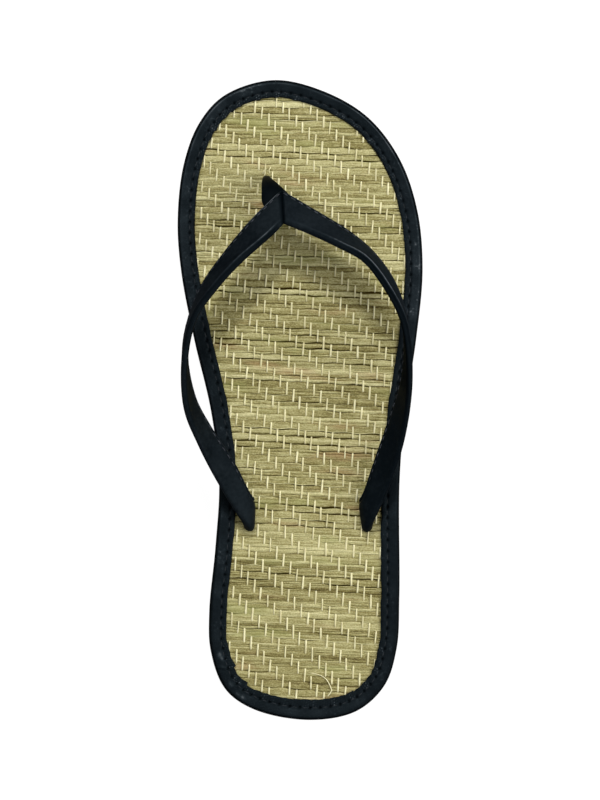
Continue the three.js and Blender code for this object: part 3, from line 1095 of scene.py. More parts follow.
@dataclass
class ReedMat:
    """Woven footbed: rows of split reeds under cream warp threads, two over and two under."""

    form: SoleForm
    toe_pitch: float = 2.55
    heel_pitch: float = 2.95
    row_count: int = 94
    toe_slant: float = math.radians(2.0)
    heel_slant: float = math.radians(4.6)
    thread_pitch: float = 2.8
    thread_lean: float = math.radians(3.4)
    thread_width: float = 0.76
    thread_height: float = 0.34
    threads: int = 44
    reed_inset: float = 5.7
    reed_height: float = 0.6
    flatness: float = 2.8
    reed_samples: int = 58
    reed_ends: float = 0.002
    reed_section: tuple[float, ...] = (-1.0, -0.94, -0.78, -0.4, 0.0, 0.4, 0.78, 0.94, 1.0)
    splits: tuple[float, float, float, float] = (0.54, 0.3, 0.1, 0.06)
    least_split: float = 0.4
    split_overlap: float = 0.06
    gap_every: int = 4
    gap_rows: int = 84
    gap_width: Pair = (0.09, 0.13)
    row_overlap: Pair = (-0.1, 0.07)
    worn_rows: tuple[int, int] = (36, 64)
    worn_gap: float = 0.03
    strand_share: float = 0.16
    strand_width: float = 0.16
    strand_place: float = 0.46
    sways: tuple[Pair, ...] = ((0.1, 41.0), (0.06, 17.0))
    wanders: tuple[Pair, ...] = ((1.0, 37.0), (0.6, 13.0))
    least_wander: float = 0.03
    gap_wander: float = 0.42
    swell: float = 0.105
    press: float = 0.15
    lift: Pair = (-0.08, 0.05)
    strand_lift: float = 0.05
    roll: float = 0.07
    reed_tone: Pair = (0.51, 0.08)
    tone_range: Pair = (0.05, 0.98)
    dark_tone: Pair = (0.22, 0.12)
    dark_share: float = 0.17
    pale_tone: Pair = (0.64, 0.14)
    pale_share: float = 0.08
    # Pale tone of the thin strands: a painted highlight of reed edges.
    strand_highlight_tone: float = 0.8
    # Painted shade at the edges of each reed, where reeds meet.
    edge_painted_shade: float = 0.5
    edge_start: float = 0.8
    narrow_width: float = 0.62
    thread_section: tuple[float, ...] = (-1.0, -0.8, -0.3, 0.3, 0.8, 1.0)
    float_parts: tuple[float, ...] = (-1.0, -0.96, -0.8, -0.5, 0.0, 0.5, 0.8, 0.96, 1.0)
    float_half: float = 1.03
    float_shift: float = 0.06
    float_stretch: float = 0.1
    float_stray: float = 0.07
    float_skew: float = 0.12
    float_crest: Pair = (0.35, 0.12)
    float_ends: float = 0.8
    float_swell: float = 0.18
    float_power: int = 9
    float_dive: float = 0.95
    float_margin: float = 0.6
    loose_ends: tuple[tuple[Triple, ...], ...] = (
        (
            (3.9, -111.0, 0.1), (8.6, -112.1, 0.3), (11.0, -114.0, 0.8), (12.2, -116.2, 1.0),
            (13.1, -118.6, 0.8),
        ),
        ((13.1, -117.6, 0.9), (12.3, -119.2, 0.8), (11.2, -120.6, 0.4)),
        ((-15.2, 92.0, 0.1), (-14.6, 93.4, 0.8), (-13.6, 94.2, 0.9)),
        ((-12.2, 92.2, 0.1), (-12.6, 93.6, 0.7), (-11.8, 94.8, 0.6)),
    )
    loose_radius: float = 0.2
    loose_samples: int = 18
    bed_inset: float = 2.2
    bed_base: float = 1.5
    bed_drop: float = 0.85
    bed_stations: int = 150
    bed_columns: int = 9
    seed: int = 7
    _chance: np.random.Generator = field(init=False)

    def __post_init__(self) -> None:
        """Seeds the mat's irregularities."""
        self._chance = np.random.default_rng(self.seed)

    def row_level(self, row: Array) -> Array:
        """y of a row on the shoe's axis, counted from the toe, with a pitch that grows evenly to the heel."""
        growth = (self.heel_pitch - self.toe_pitch) / self.row_count
        return self.form.length / 2 - 1.0 - (self.toe_pitch * row + 0.5 * growth * row**2)

    def row_slope(self, row: Array) -> Array:
        """Fall of a row per unit of x: the slant grows evenly from toe to heel."""
        part = np.clip(row / self.row_count, 0.0, 1.0)
        return np.tan(self.toe_slant + (self.heel_slant - self.toe_slant) * part)

    def thread_place(self, x: Array, y: Array) -> Array:
        """Number of the warp thread at a place, as a running value."""
        return (x - math.tan(self.thread_lean) * y) / self.thread_pitch

    @staticmethod
    def waves(x: Array, table: tuple[Pair, ...], phases: Array) -> Array:
        """Sum of sines along x, each with its size, its length and its phases."""
        return sum(size * np.sin(TURN * x / length + start) for (size, length), start in zip(table, phases))

    def reed_rows(self) -> tuple[Array, ...]:
        """Splits each row into one to four flat reeds, leaves gaps beside some, and adds thin strands, whose
        pale tone is a painted highlight of reed edges.

        Returns:
            Row number, offset from the row's middle and width of every reed (as shares of the pitch), the gap
            beside its row, and whether it is a thin strand.
        """
        rows = np.arange(self.row_count)
        most = len(self.splits)
        parts = self._chance.choice(most, self.row_count, p=self.splits) + 1
        shares = self._chance.uniform(self.least_split, 1.0, (self.row_count, most))
        shares *= np.arange(most)[None] < parts[:, None]
        spread = self._chance.random(self.row_count)
        worn = (rows > self.worn_rows[0]) & (rows < self.worn_rows[1])
        every = np.where(worn, self.gap_every - 1, self.gap_every + 1)
        chosen = self._chance.integers(0, self.row_count, self.row_count)[rows // every] % every
        gapped = (rows % every == chosen) & (rows < self.gap_rows)
        base, extra = np.where(gapped[:, None], self.gap_width, self.row_overlap).T
        gap = base + extra * spread + self.worn_gap * (gapped & worn)
        shares *= ((1.0 - gap) / shares.sum(axis=1))[:, None]
        middle = np.cumsum(shares, axis=1) - shares / 2 - (1.0 - gap)[:, None] / 2
        kept = shares > 0.0
        row = np.broadcast_to(rows[:, None], shares.shape)[kept]
        width = shares[kept] + np.where(parts[row] > 1, self.split_overlap, 0.0)
        strands = rows[self._chance.random(self.row_count) < self.strand_share]
        side = self._chance.choice([-self.strand_place, self.strand_place], len(strands))
        return (
            np.concatenate([row, strands]),
            np.concatenate([middle[kept], side]),
            np.concatenate([width, np.full(len(strands), self.strand_width)]),
            np.concatenate([gap[row], np.zeros(len(strands))]),
            np.arange(len(row) + len(strands)) >= len(row),
        )

    def build_reeds(self) -> bpy.types.Object:
        """Flat strips along each row, pressed down and narrowed where threads cross over them.

        The lift and the width of a row are cosines of the thread number, with a period of four threads that
        shifts by one thread from row to row. Its middle sways as the sine, so that it fills what the rows
        beside it leave. The section is a flat-topped arch.

        Returns:
            The reeds' object.
        """
        form = self.form
        row, offset, width, gap, strand = self.reed_rows()
        medial, lateral = form.crossings(
            self.reed_inset, self.row_level(row + 0.5 + offset), self.row_slope(row + 0.5)
        )
        inside = np.isfinite(medial) & np.isfinite(lateral)
        kept = (a[inside] for a in (row, offset, width, gap, strand, medial, lateral))
        row, offset, width, gap, strand, medial, lateral = kept
        count = len(row)
        pitch = np.interp(row, [0, self.row_count], [self.toe_pitch, self.heel_pitch])
        inner = np.linspace(self.reed_ends, 1.0 - self.reed_ends, self.reed_samples - 2)
        share = np.concatenate([[0.0], inner, [1.0]])
        closed = np.where((share > 0.0) & (share < 1.0), 1.0, 0.0)[:, None]
        x = medial[:, None] + (lateral - medial)[:, None] * share
        drift = self._chance.uniform(0.0, TURN, (self.row_count, len(self.sways)))[row].T[:, :, None]
        line = self.row_level(row + 0.5)[:, None] - self.row_slope(row + 0.5)[:, None] * x
        line = line + self.waves(x, self.sways, drift)
        turn = TURN * (self.thread_place(x, line) - (row[:, None] - 0.5)) / WEAVE
        over = np.cos(turn)
        swell = 1.0 - self.swell * over
        y = line - self.swell / 2.0 * pitch[:, None] * np.sin(turn) - (offset * pitch)[:, None] * swell
        jitter = self._chance.uniform(*self.lift, (count, 1)) + self.strand_lift * strand[:, None]
        base = form.footbed(y) - self.reed_height - self.press * over + jitter
        reach = np.array(self.reed_section)
        arch = np.sqrt(1.0 - np.abs(reach) ** self.flatness)
        roll = self._chance.uniform(-self.roll, self.roll, (count, 1, 1)) * reach
        waver = np.maximum(self.least_wander, self.gap_wander * gap)[:, None]
        phase = self._chance.uniform(0.0, TURN, (len(self.wanders), count, 1))
        wander = 1.0 + waver * self.waves(x, self.wanders, phase)
        half = (width * pitch / 2.0)[:, None, None] * (swell * wander)[:, :, None] * closed
        height = base[:, :, None] + (self.reed_height * arch + roll) * closed
        points = sheet(x[:, :, None], y[:, :, None] + half * reach, height)
        # Painted shade at each reed's edges, where reeds meet.
        edges = self.edge_painted_shade * ease(np.abs(reach), self.edge_start, 1.0)
        tone = np.broadcast_to(self._reed_tones(width, strand)[:, None, None] - edges, points.shape[:3])
        made = Piece("mat_reeds").grid(points, wrap_columns=True, tone=tone)
        reeds = made.build(ReedFinish().material(), Slot.MAT, weld=True)
        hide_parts("footbed_mat")
        return reeds

    def _reed_tones(self, width: Array, strand: Array) -> Array:
        """Shade of each reed: most lie near one tone, some narrow ones are dark, and a few are pale.

        Args:
            width: width of each reed, as a share of the pitch.
            strand: whether it is a thin strand.

        Returns:
            One tone per reed.
        """
        count = len(width)
        tone = np.clip(self._chance.normal(*self.reed_tone, count), *self.tone_range)
        odd = self._chance.random(count)
        dark = self.dark_tone[0] + self.dark_tone[1] * self._chance.random(count)
        pale = self.pale_tone[0] + self.pale_tone[1] * self._chance.random(count)
        tone = np.where((odd < self.dark_share) & (width < self.narrow_width), dark, tone)
        tone = np.where(odd > 1.0 - self.pale_share, pale, tone)
        # Thin strands get a pale tone as a painted highlight of reed edges.
        return np.where(strand, self.strand_highlight_tone, tone)

    def build_threads(self) -> bpy.types.Object:
        """Warp threads where they show: each float lies over two rows, then dives between the reeds.

        A float's height is a flat-topped arch along the shoe, and its section is a half oval. The next thread
        towards the little toe starts one row nearer the heel.

        Returns:
            The threads' object.
        """
        form = self.form
        floats = self.row_count // WEAVE + 2
        thread = np.repeat(np.arange(-self.threads // 2, self.threads // 2), floats)
        start = thread % WEAVE + WEAVE * (np.tile(np.arange(floats), self.threads) - 1.0)
        jitter = self._chance.uniform(-1.0, 1.0, (5, len(thread)))[:, :, None]
        part = np.array(self.float_parts)
        half = self.float_half + self.float_stretch * jitter[1]
        row = start[:, None] + 1.0 + self.float_shift * jitter[0] + half * part
        y = self.row_level(row)
        x = self.thread_pitch * (thread[:, None] + self.float_stray * jitter[2])
        x = x + math.tan(self.thread_lean) * y + self.float_skew * jitter[3] * part
        y = y - self.row_slope(row) * x
        centre = np.stack([x[:, len(part) // 2], y[:, len(part) // 2]], axis=1)
        inside = form.inset_of(centre) > self.reed_inset + self.float_margin
        x, y, jitter = x[inside], y[inside], jitter[:, inside]
        arch = 1.0 - np.abs(part) ** self.float_power
        rise, uneven = self.float_crest
        crest = form.footbed(y) + self.thread_height * (rise + uneven * jitter[4])
        z = crest - self.float_dive * (1.0 - arch)
        reach = np.array(self.thread_section)
        bulge = np.sqrt(1.0 - reach**2)
        closed = np.where(np.abs(part) < 1.0, 1.0, 0.0)[:, None]
        wide = self.thread_width / 2.0 * from_least(self.float_ends, arch)[:, None] * closed
        wide = wide * (1.0 + self.float_swell * jitter[0][:, :, None])
        height = z[:, :, None] - self.thread_height + 2.0 * self.thread_height * bulge * closed
        points = sheet(x[:, :, None] + wide * reach, y[:, :, None], height)
        made = Piece("warp_threads").grid(points, wrap_columns=True)
        self._fray(made)
        return made.build(ThreadFinish().material(), Slot.MAT, weld=True)

    def _fray(self, made: Piece) -> None:
        """Adds the loose warp ends that stand out of the mat at the heel and at the toe hole.

        Args:
            made: the threads' piece.
        """
        for strand in self.loose_ends:
            path = np.array(strand)
            path[:, 2] += self.form.footbed(path[:, 1])
            made.grid(tube(path, self.loose_radius, self.loose_samples), wrap_columns=True)

    def build_bed(self) -> bpy.types.Object:
        """Plate below the reeds, dark as painted shade in the gaps between them: closed cross sections from
        heel to toe, its top just under their crests.

        Returns:
            The bed's object.
        """
        form = self.form
        y, medial, lateral = (a[:, None] for a in form.rows(self.bed_inset, self.bed_stations))
        across = medial + (lateral - medial) * np.linspace(0.0, 1.0, self.bed_columns)
        lower = sheet(across, y, form.deck(y) + self.bed_base)
        upper = sheet(across, y, form.footbed(y) - self.bed_drop)
        made = Piece("mat_bed_shade").grid(np.concatenate([lower, upper[:, ::-1]], axis=1), wrap_columns=True)
        ends = np.stack([lower, upper], axis=1)
        made.grid(ends[0], flip=True).grid(ends[-1])
        return made.build(BedFinish().material(), Slot.MAT, weld=True)


class TapeRun(NamedTuple):
    """Arrays that the tape's shape and tone share: a row for each place round the edge.

    Those from inset on have a column for each point of the section.
    """

    edge: Array
    inward: Array
    phase: Array
    bend: Array
    slow: Array
    inset: Array
    top: Array
    lip: Array
    roll: Array
    fold: Array
    crease: Array
    hole: Array


@dataclass
class EdgeBinding:
    """Tape folded round the mat's edge, sewn through near its inner lip."""

    form: SoleForm
    stitches: int = 138
    samples_per_stitch: int = 12
    stitch_inset: float = 4.75
    stitch_level: float = 4.14
    stitch_radius: float = 0.2
    stitch_bow: float = 0.1
    stitch_gap: float = 0.2
    thread: StitchFinish = StitchFinish(
        name="tape_thread", base=colour(12, 16, 20), glint=colour(50, 55, 62)
    )
    base_tone: float = 0.38
    top_levels: Pair = (3.75, 4.0)
    # Painted highlight along the rim: its place, width and strength round the shoe.
    rim_inset: float = 1.2
    rim_width: float = 0.3
    rim_shine: float = 0.08
    toe_shine: float = 0.26
    side_shine: float = 0.2
    side_shift: float = 0.2
    side_across: Pair = (5.0, 25.0)
    side_along: Pair = (30.0, 75.0)
    toe_along: Pair = (80.0, 105.0)
    heel_along: Pair = (-110.0, -30.0)
    # Painted shade on the outer wall, wider at the heel.
    wall_edge: Pair = (0.6, 1.0)
    heel_wall: float = 1.2
    wall_shade: float = 0.4
    roll_end: float = 3.6
    roll_beat: float = 0.03
    roll_slow: float = 0.02
    flange_edge: Pair = (-0.1, 0.5)
    lip_start: float = 0.2
    lip: float = 7.0
    lip_shade: float = 0.14
    lip_slow: float = 0.1
    heel_shade: float = 0.12
    hole_radius: float = 0.55
    hole_depth: float = 0.7
    hole_edge: Pair = (0.25, 0.7)
    hole_shade: float = 0.44
    sewn_shift: float = 0.35
    sewn_width: float = 0.55
    sewn_shade: float = 0.1
    pucker: float = 0.11
    straight_pucker: float = 0.2
    pucker_slant: float = 0.12
    scallop: float = 0.1
    straight_scallop: float = 0.3
    uneven_share: float = 1.2
    uneven_beats: Triple = (0.37, 0.11, 1.1)
    folds: tuple[Pair, ...] = ((2.6, 0.55), (1.13, -0.4))
    fold_start: float = 0.7
    fold_height: float = 0.06
    fold_edge: Pair = (-0.1, 0.9)
    # Painted highlight on the lip's wrinkles where they rise.
    fold_highlight: float = 0.68
    straight_folds: float = 0.4
    blotch_sizes: Pair = (0.6, 0.55)
    blotch_beats: Triple = (0.23, 0.71, 0.4)
    slow_tone: float = 0.06
    slow_turns: tuple[int, ...] = (5, 9, 14, 23, 37, 61)
    slow_sizes: Pair = (0.3, 1.0)
    bend_parts: int = 60
    bend_start: float = 0.008
    bend_full: float = 0.022
    pleat_step: float = 0.35
    pleat_run: float = 4.0
    crease_slant: float = 0.45
    crease_width: float = 0.75
    crease_sides: Pair = (0.6, 0.4)
    crease_height: float = 0.12
    # Painted highlight and shade across the tape's creases.
    painted_crease_shading: float = 0.15
    crease_edge: Pair = (1.5, 4.0)
    seed: int = 11
    pleats: tuple[Triple, ...] = (
        (-28.6, -109.4, 1.3),
        (-21.8, -115.8, 1.2),
        (22.0, -118.8, 0.8),
        (-33.5, 109.0, 0.6),
        (-30.5, 113.5, 0.6),
        (30.0, 108.0, 0.5),
    )
    widenings: Marks = (
        (2.0, -127.0, 1.2, 24.0),
        (38.0, -78.0, 0.45, 30.0),
        (-48.0, 66.0, -0.35, 40.0),
        (34.0, 98.0, -0.35, 28.0),
    )
    # Lighter and darker places on the roll: partly wear, partly painted highlight.
    patches: Marks = (
        (-33.0, 112.0, 0.1, 22.0),
        (32.0, 105.0, -0.12, 22.0),
        (48.0, 55.0, 0.16, 32.0),
        (-48.0, 70.0, 0.06, 30.0),
        (-33.0, -20.0, -0.06, 30.0),
        (39.0, -90.0, -0.06, 35.0),
        (6.0, -127.0, 0.08, 16.0),
        (45.0, 80.0, 0.25, 2.5),
        (46.0, 36.0, 0.16, 3.0),
        (18.7, -122.0, 0.14, 4.0),
    )
    scuffs: Marks = (
        (-32.6, -103.6, 0.6, 1.3),
        (-31.5, -105.2, 0.5, 0.9),
        (-28.0, -115.6, 0.4, 1.2),
        (-25.2, -119.7, 0.5, 1.0),
        (-23.4, -121.0, 0.5, 1.0),
    )
    # Painted shadow of the strap's bands on the tape beside them.
    shades: Marks = ((41.0, 8.0, 0.2, 20.0), (-37.0, 16.0, 0.12, 24.0))

    def section(self) -> Array:
        """Smooth curve through the section's points, sampled more closely where it shows.

        Returns:
            Inset and height of each sample.
        """
        knots = np.array([(mark.inset, mark.height) for mark in TAPE_SECTION])
        at = [k + np.arange(mark.samples) / mark.samples for k, mark in enumerate(TAPE_SECTION)]
        points, _ = spline(knots, np.concatenate(at), True)
        return points

    def shape(self, run: Array) -> tuple[Array, Array, Array]:
        """Inset, height and tone of the tape at every place round the edge and round its section.

        Where the edge bends, the lip's edge ripples as a cosine of the stitch number, and its top puckers as
        the size of a sine. Each stitch hole is a bell-shaped dimple, and fine wrinkles, the product of two
        sines, run slantwise across the lip. At a pleat the lip stands out and steps back sharply, and a
        crease, one bell up and one down, slants across the tape.

        Args:
            run: places round the edge, counted in stitches.

        Returns:
            Three arrays of (places, section points).
        """
        section = self.section()
        inset, height = (np.tile(column, (len(run), 1)) for column in section.T)
        edge, inward = self.form.edge(len(run))
        spots = edge + self.stitch_inset * inward
        bend = self.bend(inward)[:, None]
        perimeter = self.form.perimeter()
        phase = run[:, None]
        beat = np.cos(TURN * phase)
        uneven = self.beats(phase, *self.uneven_beats)
        slow = self._slow(run)[:, None]
        top = ease(section[:, 1], *self.top_levels)[None, :]
        lip = top * ease(inset, self.stitch_inset + self.lip_start, self.lip)
        pleat, crease = self._pleats(spots, perimeter / len(run), section[:, 0])
        ripple = self.scallop * (beat + self.uneven_share * uneven) * from_least(self.straight_scallop, bend)
        inset -= lip * (ripple + self.lip_slow * slow - pleat[:, None])
        first, second = (TURN * (phase * turns + inset * slant) for turns, slant in self.folds)
        fold = np.sin(first) * np.sin(second + self.fold_start)
        gather = 1.0 - 2.0 * np.abs(np.sin(math.pi * (phase + self.pucker_slant * inset)))
        pucker = self.pucker * gather * from_least(self.straight_pucker, bend)
        height += lip * (pucker + self.fold_height * fold)
        roll = top * (1.0 - ease(inset, self.roll_end, self.stitch_inset))
        height += roll * (self.roll_beat * beat + self.roll_slow * slow + self.crease_height * crease)
        nearest = np.abs(phase - np.round(phase)) * perimeter / self.stitches
        hole = bell(nearest, self.hole_radius) * bell(inset - self.stitch_inset, self.hole_radius)
        height -= top * self.hole_depth * hole
        tape = TapeRun(edge, inward, phase, bend, slow, inset, top, lip, roll, fold, crease, hole)
        return inset, height, self._tones(tape)

    def _tones(self, tape: TapeRun) -> Array:
        """Shade of the tape at every place round the edge and round its section.

        A painted highlight runs along the rim, strongest round the toe and on the lateral side, and painted
        shade darkens the outer wall, wider at the heel. Wrinkles get a painted highlight where they rise, and
        painted shade darkens the holes and the sewn row.
        Patches of wear and painted highlight, scuffs, and the painted shadow of the strap are bell curves
        about their marks.

        Args:
            tape: the arrays that its shape is made of.

        Returns:
            An array of (places, section points).
        """
        inset, top = tape.inset, tape.top
        x, y = tape.edge[:, :1], tape.edge[:, 1:]
        # Painted highlight along the rim, and painted shade on the outer wall.
        lateral = ease(x, *self.side_across) * ease(y, *self.side_along)
        shine = self.rim_shine + self.toe_shine * ease(y, *self.toe_along) + self.side_shine * lateral
        rim = top * shine * bell(inset - self.rim_inset + self.side_shift * lateral, self.rim_width)
        heel = 1.0 - ease(y, *self.heel_along)
        outer = 1.0 - ease(inset, self.wall_edge[0], self.wall_edge[1] + self.heel_wall * heel)
        sewn_in = inset - self.stitch_inset
        flange = top * ease(sewn_in, *self.flange_edge)
        # Painted highlight on the lip's wrinkles where they rise.
        blotch = self.blotch_sizes[0] + self.blotch_sizes[1] * self.beats(tape.phase, *self.blotch_beats)
        folded = from_least(self.straight_folds, tape.bend) * blotch * ease(tape.fold, *self.fold_edge)
        # Painted shade along the sewn row.
        sewn = top * bell(sewn_in + self.sewn_shift, self.sewn_width)
        spots = tape.edge + self.stitch_inset * tape.inward
        # Patches on the roll: partly wear, partly painted highlight.
        patch = self.slow_tone * tape.slow + self.around(spots, self.patches)[:, None]
        # Painted shadow of the strap's bands on the tape.
        painted_strap_shadow = self.around(spots, self.shades)[:, None]
        plan = (tape.edge[:, None] + inset[:, :, None] * tape.inward[:, None]).reshape(-1, 2)
        scuffed = self.around(plan, self.scuffs).reshape(inset.shape)
        # Painted shade in the stitch holes.
        painted_hole_shade = self.hole_shade * top * ease(tape.hole, *self.hole_edge)
        # Painted highlight on one side of each crease and painted shade on the other.
        painted_crease_light = self.painted_crease_shading * tape.crease * ease(inset, *self.crease_edge)
        tone = self.base_tone + rim - self.wall_shade * outer
        tone += flange * (self.fold_highlight * folded - self.heel_shade * heel) - self.lip_shade * tape.lip
        tone += patch * tape.roll - self.sewn_shade * sewn - painted_hole_shade
        return tone + top * (scuffed + painted_crease_light - painted_strap_shadow)

    @staticmethod
    def beats(phase: Array, first: float, second: float, start: float) -> Array:
        """Product of two sines of the stitch number, so that it comes and goes unevenly."""
        return np.sin(TURN * phase * first + start) * np.sin(TURN * phase * second)

    def _slow(self, run: Array) -> Array:
        """Slow unevenness round the edge: sines of random size and phase.

        Args:
            run: places round the edge, counted in stitches.

        Returns:
            One value per place.
        """
        chance = np.random.default_rng(self.seed)
        return sum(
            chance.uniform(*self.slow_sizes)
            * np.sin(TURN * run / self.stitches * turns + chance.uniform(0, TURN))
            for turns in self.slow_turns
        )

    def _pleats(self, spots: Array, step: float, inset: Array) -> tuple[Array, Array]:
        """How far the lip stands out at pleats and wide stretches, and the creases that slant from pleats.

        Args:
            spots: places along the stitches, in plan.
            step: distance from one place to the next.
            inset: inset of each point of the section.

        Returns:
            Reach of the lip at each place, and the creases at each place and section point.
        """
        count = len(spots)
        step_on, width = self.pleat_step, self.crease_width
        up, down = self.crease_sides
        pleat = self.around(spots, self.widenings)
        crease = np.zeros((count, len(inset)))
        for x, y, depth in self.pleats:
            first = np.linalg.norm(spots - np.array([x, y]), axis=1).argmin()
            past = ((np.arange(count) - first + count // 2) % count - count // 2) * step
            pleat += depth * ease(past, -step_on, step_on) * np.exp(-np.maximum(past, 0.0) / self.pleat_run)
            slant = past[:, None] + self.crease_slant * (inset - self.stitch_inset)
            crease += depth * (bell(slant - up, width) - bell(slant + down, width))
        return pleat, crease

    @staticmethod
    def around(spots: Array, marks: Marks) -> Array:
        """Sum of marks at each place round the edge, each a bell curve of the distance from it.

        Args:
            spots: the places, in plan.
            marks: x and y of each mark, its amount and its width.

        Returns:
            One amount per place.
        """
        table = np.array(marks)
        distance = np.linalg.norm(spots[:, None] - table[None, :, :2], axis=2)
        return (table[:, 2] * bell(distance, table[:, 3])).sum(axis=1)

    def bend(self, inward: Array) -> Array:
        """How tightly the edge turns at each place, from 0 on its straight stretches to 1 round toe and heel.

        Args:
            inward: unit vectors that point inward, evenly spaced round the edge.

        Returns:
            One share per place.
        """
        count = len(inward) // self.bend_parts
        ahead, behind = np.roll(inward, -count, axis=0), np.roll(inward, count, axis=0)
        turning = np.linalg.norm(ahead - behind, axis=1) / (2.0 * count * self.form.perimeter() / len(inward))
        return ease(turning, self.bend_start, self.bend_full)

    def build(self) -> list[bpy.types.Object]:
        """Carries the section round the edge, and lays the stitches in their row.

        Returns:
            The tape and its stitches.
        """
        form = self.form
        count = self.stitches * self.samples_per_stitch
        points, inward = form.edge(count)
        run = np.arange(count) / self.samples_per_stitch
        inset, height, tone = self.shape(run)
        plan = points[:, None] + inset[:, :, None] * inward[:, None]
        skin = np.concatenate([plan, (form.deck(plan[:, :, 1]) + height)[:, :, None]], axis=2)
        tape = Piece("edge_tape").grid(skin, wrap_rows=True, wrap_columns=True, flip=True, tone=tone)
        made = tape.build(TapeFinish().material(), Slot.TAPE)
        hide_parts("edge_binding")
        return [made, self._stitches()]

    def _stitches(self) -> bpy.types.Object:
        """Lays a rod from each hole to the next, sunk into the row.

        Returns:
            The stitches' object.
        """
        form = self.form
        points, inward = form.edge(self.stitches)
        row = points + self.stitch_inset * inward
        row = np.column_stack([row, form.deck(row[:, 1]) + self.stitch_level])
        after = np.roll(row, -1, axis=0)
        gap = self.stitch_gap * np.array([1.0, 1.0, 0.0]) * (after - row)
        up = np.broadcast_to(np.array([0.0, 0.0, 1.0]), row.shape)
        stitches = rods(row + gap, after - gap, up, self.stitch_radius, self.stitch_bow)
        made = Piece("tape_stitches").grid(stitches, wrap_columns=True)
        return made.build(self.thread.material(), Slot.TAPE, weld=True)


@dataclass
class ThongStrap:
    """Two folded bands that meet over the toe post, with a sewn toe-side edge."""

    form: SoleForm
    tail_depth: float = 7.2
    tail_middle: float = 2.0
    samples_per_cut: int = 14
    section_samples: int = 3
    stitch_pitch: float = 3.6
    stitch_length: float = 2.3
    stitch_radius: float = 0.24
    stitch_bow: float = 0.12
    seam_inward: float = -0.1
    seam_depth: float = 0.9
    thickness: float = 2.8
    slot_thickness: float = 4.8
    crease_depth: float = 0.4
    crease_width: float = 0.65
    crease_spread: float = 1.2
    # Painted shade in the crease where the bands meet.
    painted_crease_shading: float = 0.5
    # Painted highlight beside the crease on the medial band, and how fast it fades.
    pale_tone: float = 0.14
    painted_light_fade: float = 7.0
    band_tone: float = 0.44
    outer_face: Pair = (0.4, 1.2)
    inner_face: Pair = (0.2, 1.2)
    post_tone: float = 0.21
    post_squareness: float = 0.7
    post_columns: int = 28
    apex_crowding: float = 2.2
    seam_end: float = 0.2
    seam_samples: int = 1000

    def rails(self, cuts: list[StrapCut], at: Array) -> tuple[Array, Array, Array]:
        """Smooth curves through both edges of a list of cuts.

        Args:
            cuts: the strap's table.
            at: places along it, counted in cuts.

        Returns:
            Toe-side edge, heel-side edge, and the direction in which both run.
        """
        table = np.array(cuts)[:, :6]
        table[:, [2, 5]] += self.form.footbed((table[:, 1] + table[:, 4]) / 2.0)[:, None]
        toe, toe_slope = spline(table[:, :3], at, False)
        heel, heel_slope = spline(table[:, 3:], at, False)
        return toe, heel, unit(toe_slope) + unit(heel_slope)

    def with_tail(self, cuts: tuple[StrapCut, ...]) -> list[StrapCut]:
        """Carries a band straight down from its last cut into the sole.

        Args:
            cuts: the band's table.

        Returns:
            The table with two more cuts.
        """
        depths = (self.tail_middle, self.tail_depth)
        return [*cuts, *(cuts[-1]._replace(tz=-depth, hz=-depth) for depth in depths)]

    def places(self) -> Array:
        """Places along a band, much closer together near the apex.

        Returns:
            The places, counted in cuts from the apex.
        """
        last = len(MEDIAL_BAND) + 2
        near = np.linspace(0.0, 1.0, 2 * self.samples_per_cut) ** self.apex_crowding
        return np.concatenate([near[:-1], np.linspace(1.0, last, (last - 1) * self.samples_per_cut + 1)])

    def bands(self, at: Array) -> tuple[Array, ...]:
        """Edges and directions of both bands in one run: medial slot, apex, lateral slot.

        Each band is its own curve from the apex outwards, so the bands meet in a corner there.

        Args:
            at: places along a band, counted in cuts from the apex.

        Returns:
            Toe edge, heel edge, unit vector across, and unit normal of the outer face.
        """
        halves = []
        for band, sense in ((MEDIAL_BAND, -1), (LATERAL_BAND, 1)):
            toe, heel, ahead = self.rails([APEX, *self.with_tail(band)], at)
            halves.append([a[::sense] for a in (toe, heel, sense * ahead)])
        medial, lateral = halves
        corner = (medial[2][-1] + lateral[2][0]) / 2.0
        toe = np.concatenate([medial[0], lateral[0][1:]])
        heel = np.concatenate([medial[1], lateral[1][1:]])
        ahead = np.concatenate([medial[2][:-1], corner[None], lateral[2][1:]])
        across = unit(heel - toe)
        return toe, heel, across, unit(np.cross(across, ahead))

    def fullness(self, at: Array) -> Array:
        """Thickness along both bands in one run: fuller from the last cut above the slot downwards.

        Args:
            at: places along a band, counted in cuts from the apex.

        Returns:
            Shares of the bands' usual thickness.
        """
        swell = self.slot_thickness / self.thickness - 1.0
        half = 1.0 + swell * np.clip(at - (len(MEDIAL_BAND) - 1), 0.0, 1.0)
        return np.concatenate([half[::-1], half[1:]])

    def along(self, at: Array, column: str) -> Array:
        """A column of the two tables along both bands in one run, straight between cuts.

        Args:
            at: places along a band, counted in cuts from the apex.
            column: the column's name.

        Returns:
            One value per place.
        """
        values = [[getattr(cut, column) for cut in (APEX, *band)] for band in (MEDIAL_BAND, LATERAL_BAND)]
        medial, lateral = (np.interp(at, np.arange(len(row)), row) for row in values)
        return np.concatenate([medial[::-1], lateral[1:]])

    def crease(self, toe: Array, heel: Array) -> tuple[Array, Array]:
        """Groove where the two bands meet at the apex, darkened with painted shade, and a painted highlight
        beside it on the medial band.

        The groove is a bell curve of the distance along the bands, wider on the medial one.
        The painted highlight fades away from it.

        Args:
            toe: toe edge of both bands in one run.
            heel: heel edge, likewise.

        Returns:
            Lift and change of tone at each place.
        """
        run = lengths((toe + heel) / 2.0)
        run -= run[len(run) // 2]
        groove = bell(run, np.where(run < 0.0, self.crease_spread, self.crease_width))
        pale = np.where(run < 0.0, np.exp(run / self.painted_light_fade), 0.0)
        return -self.crease_depth * groove, self.pale_tone * pale - self.painted_crease_shading * groove

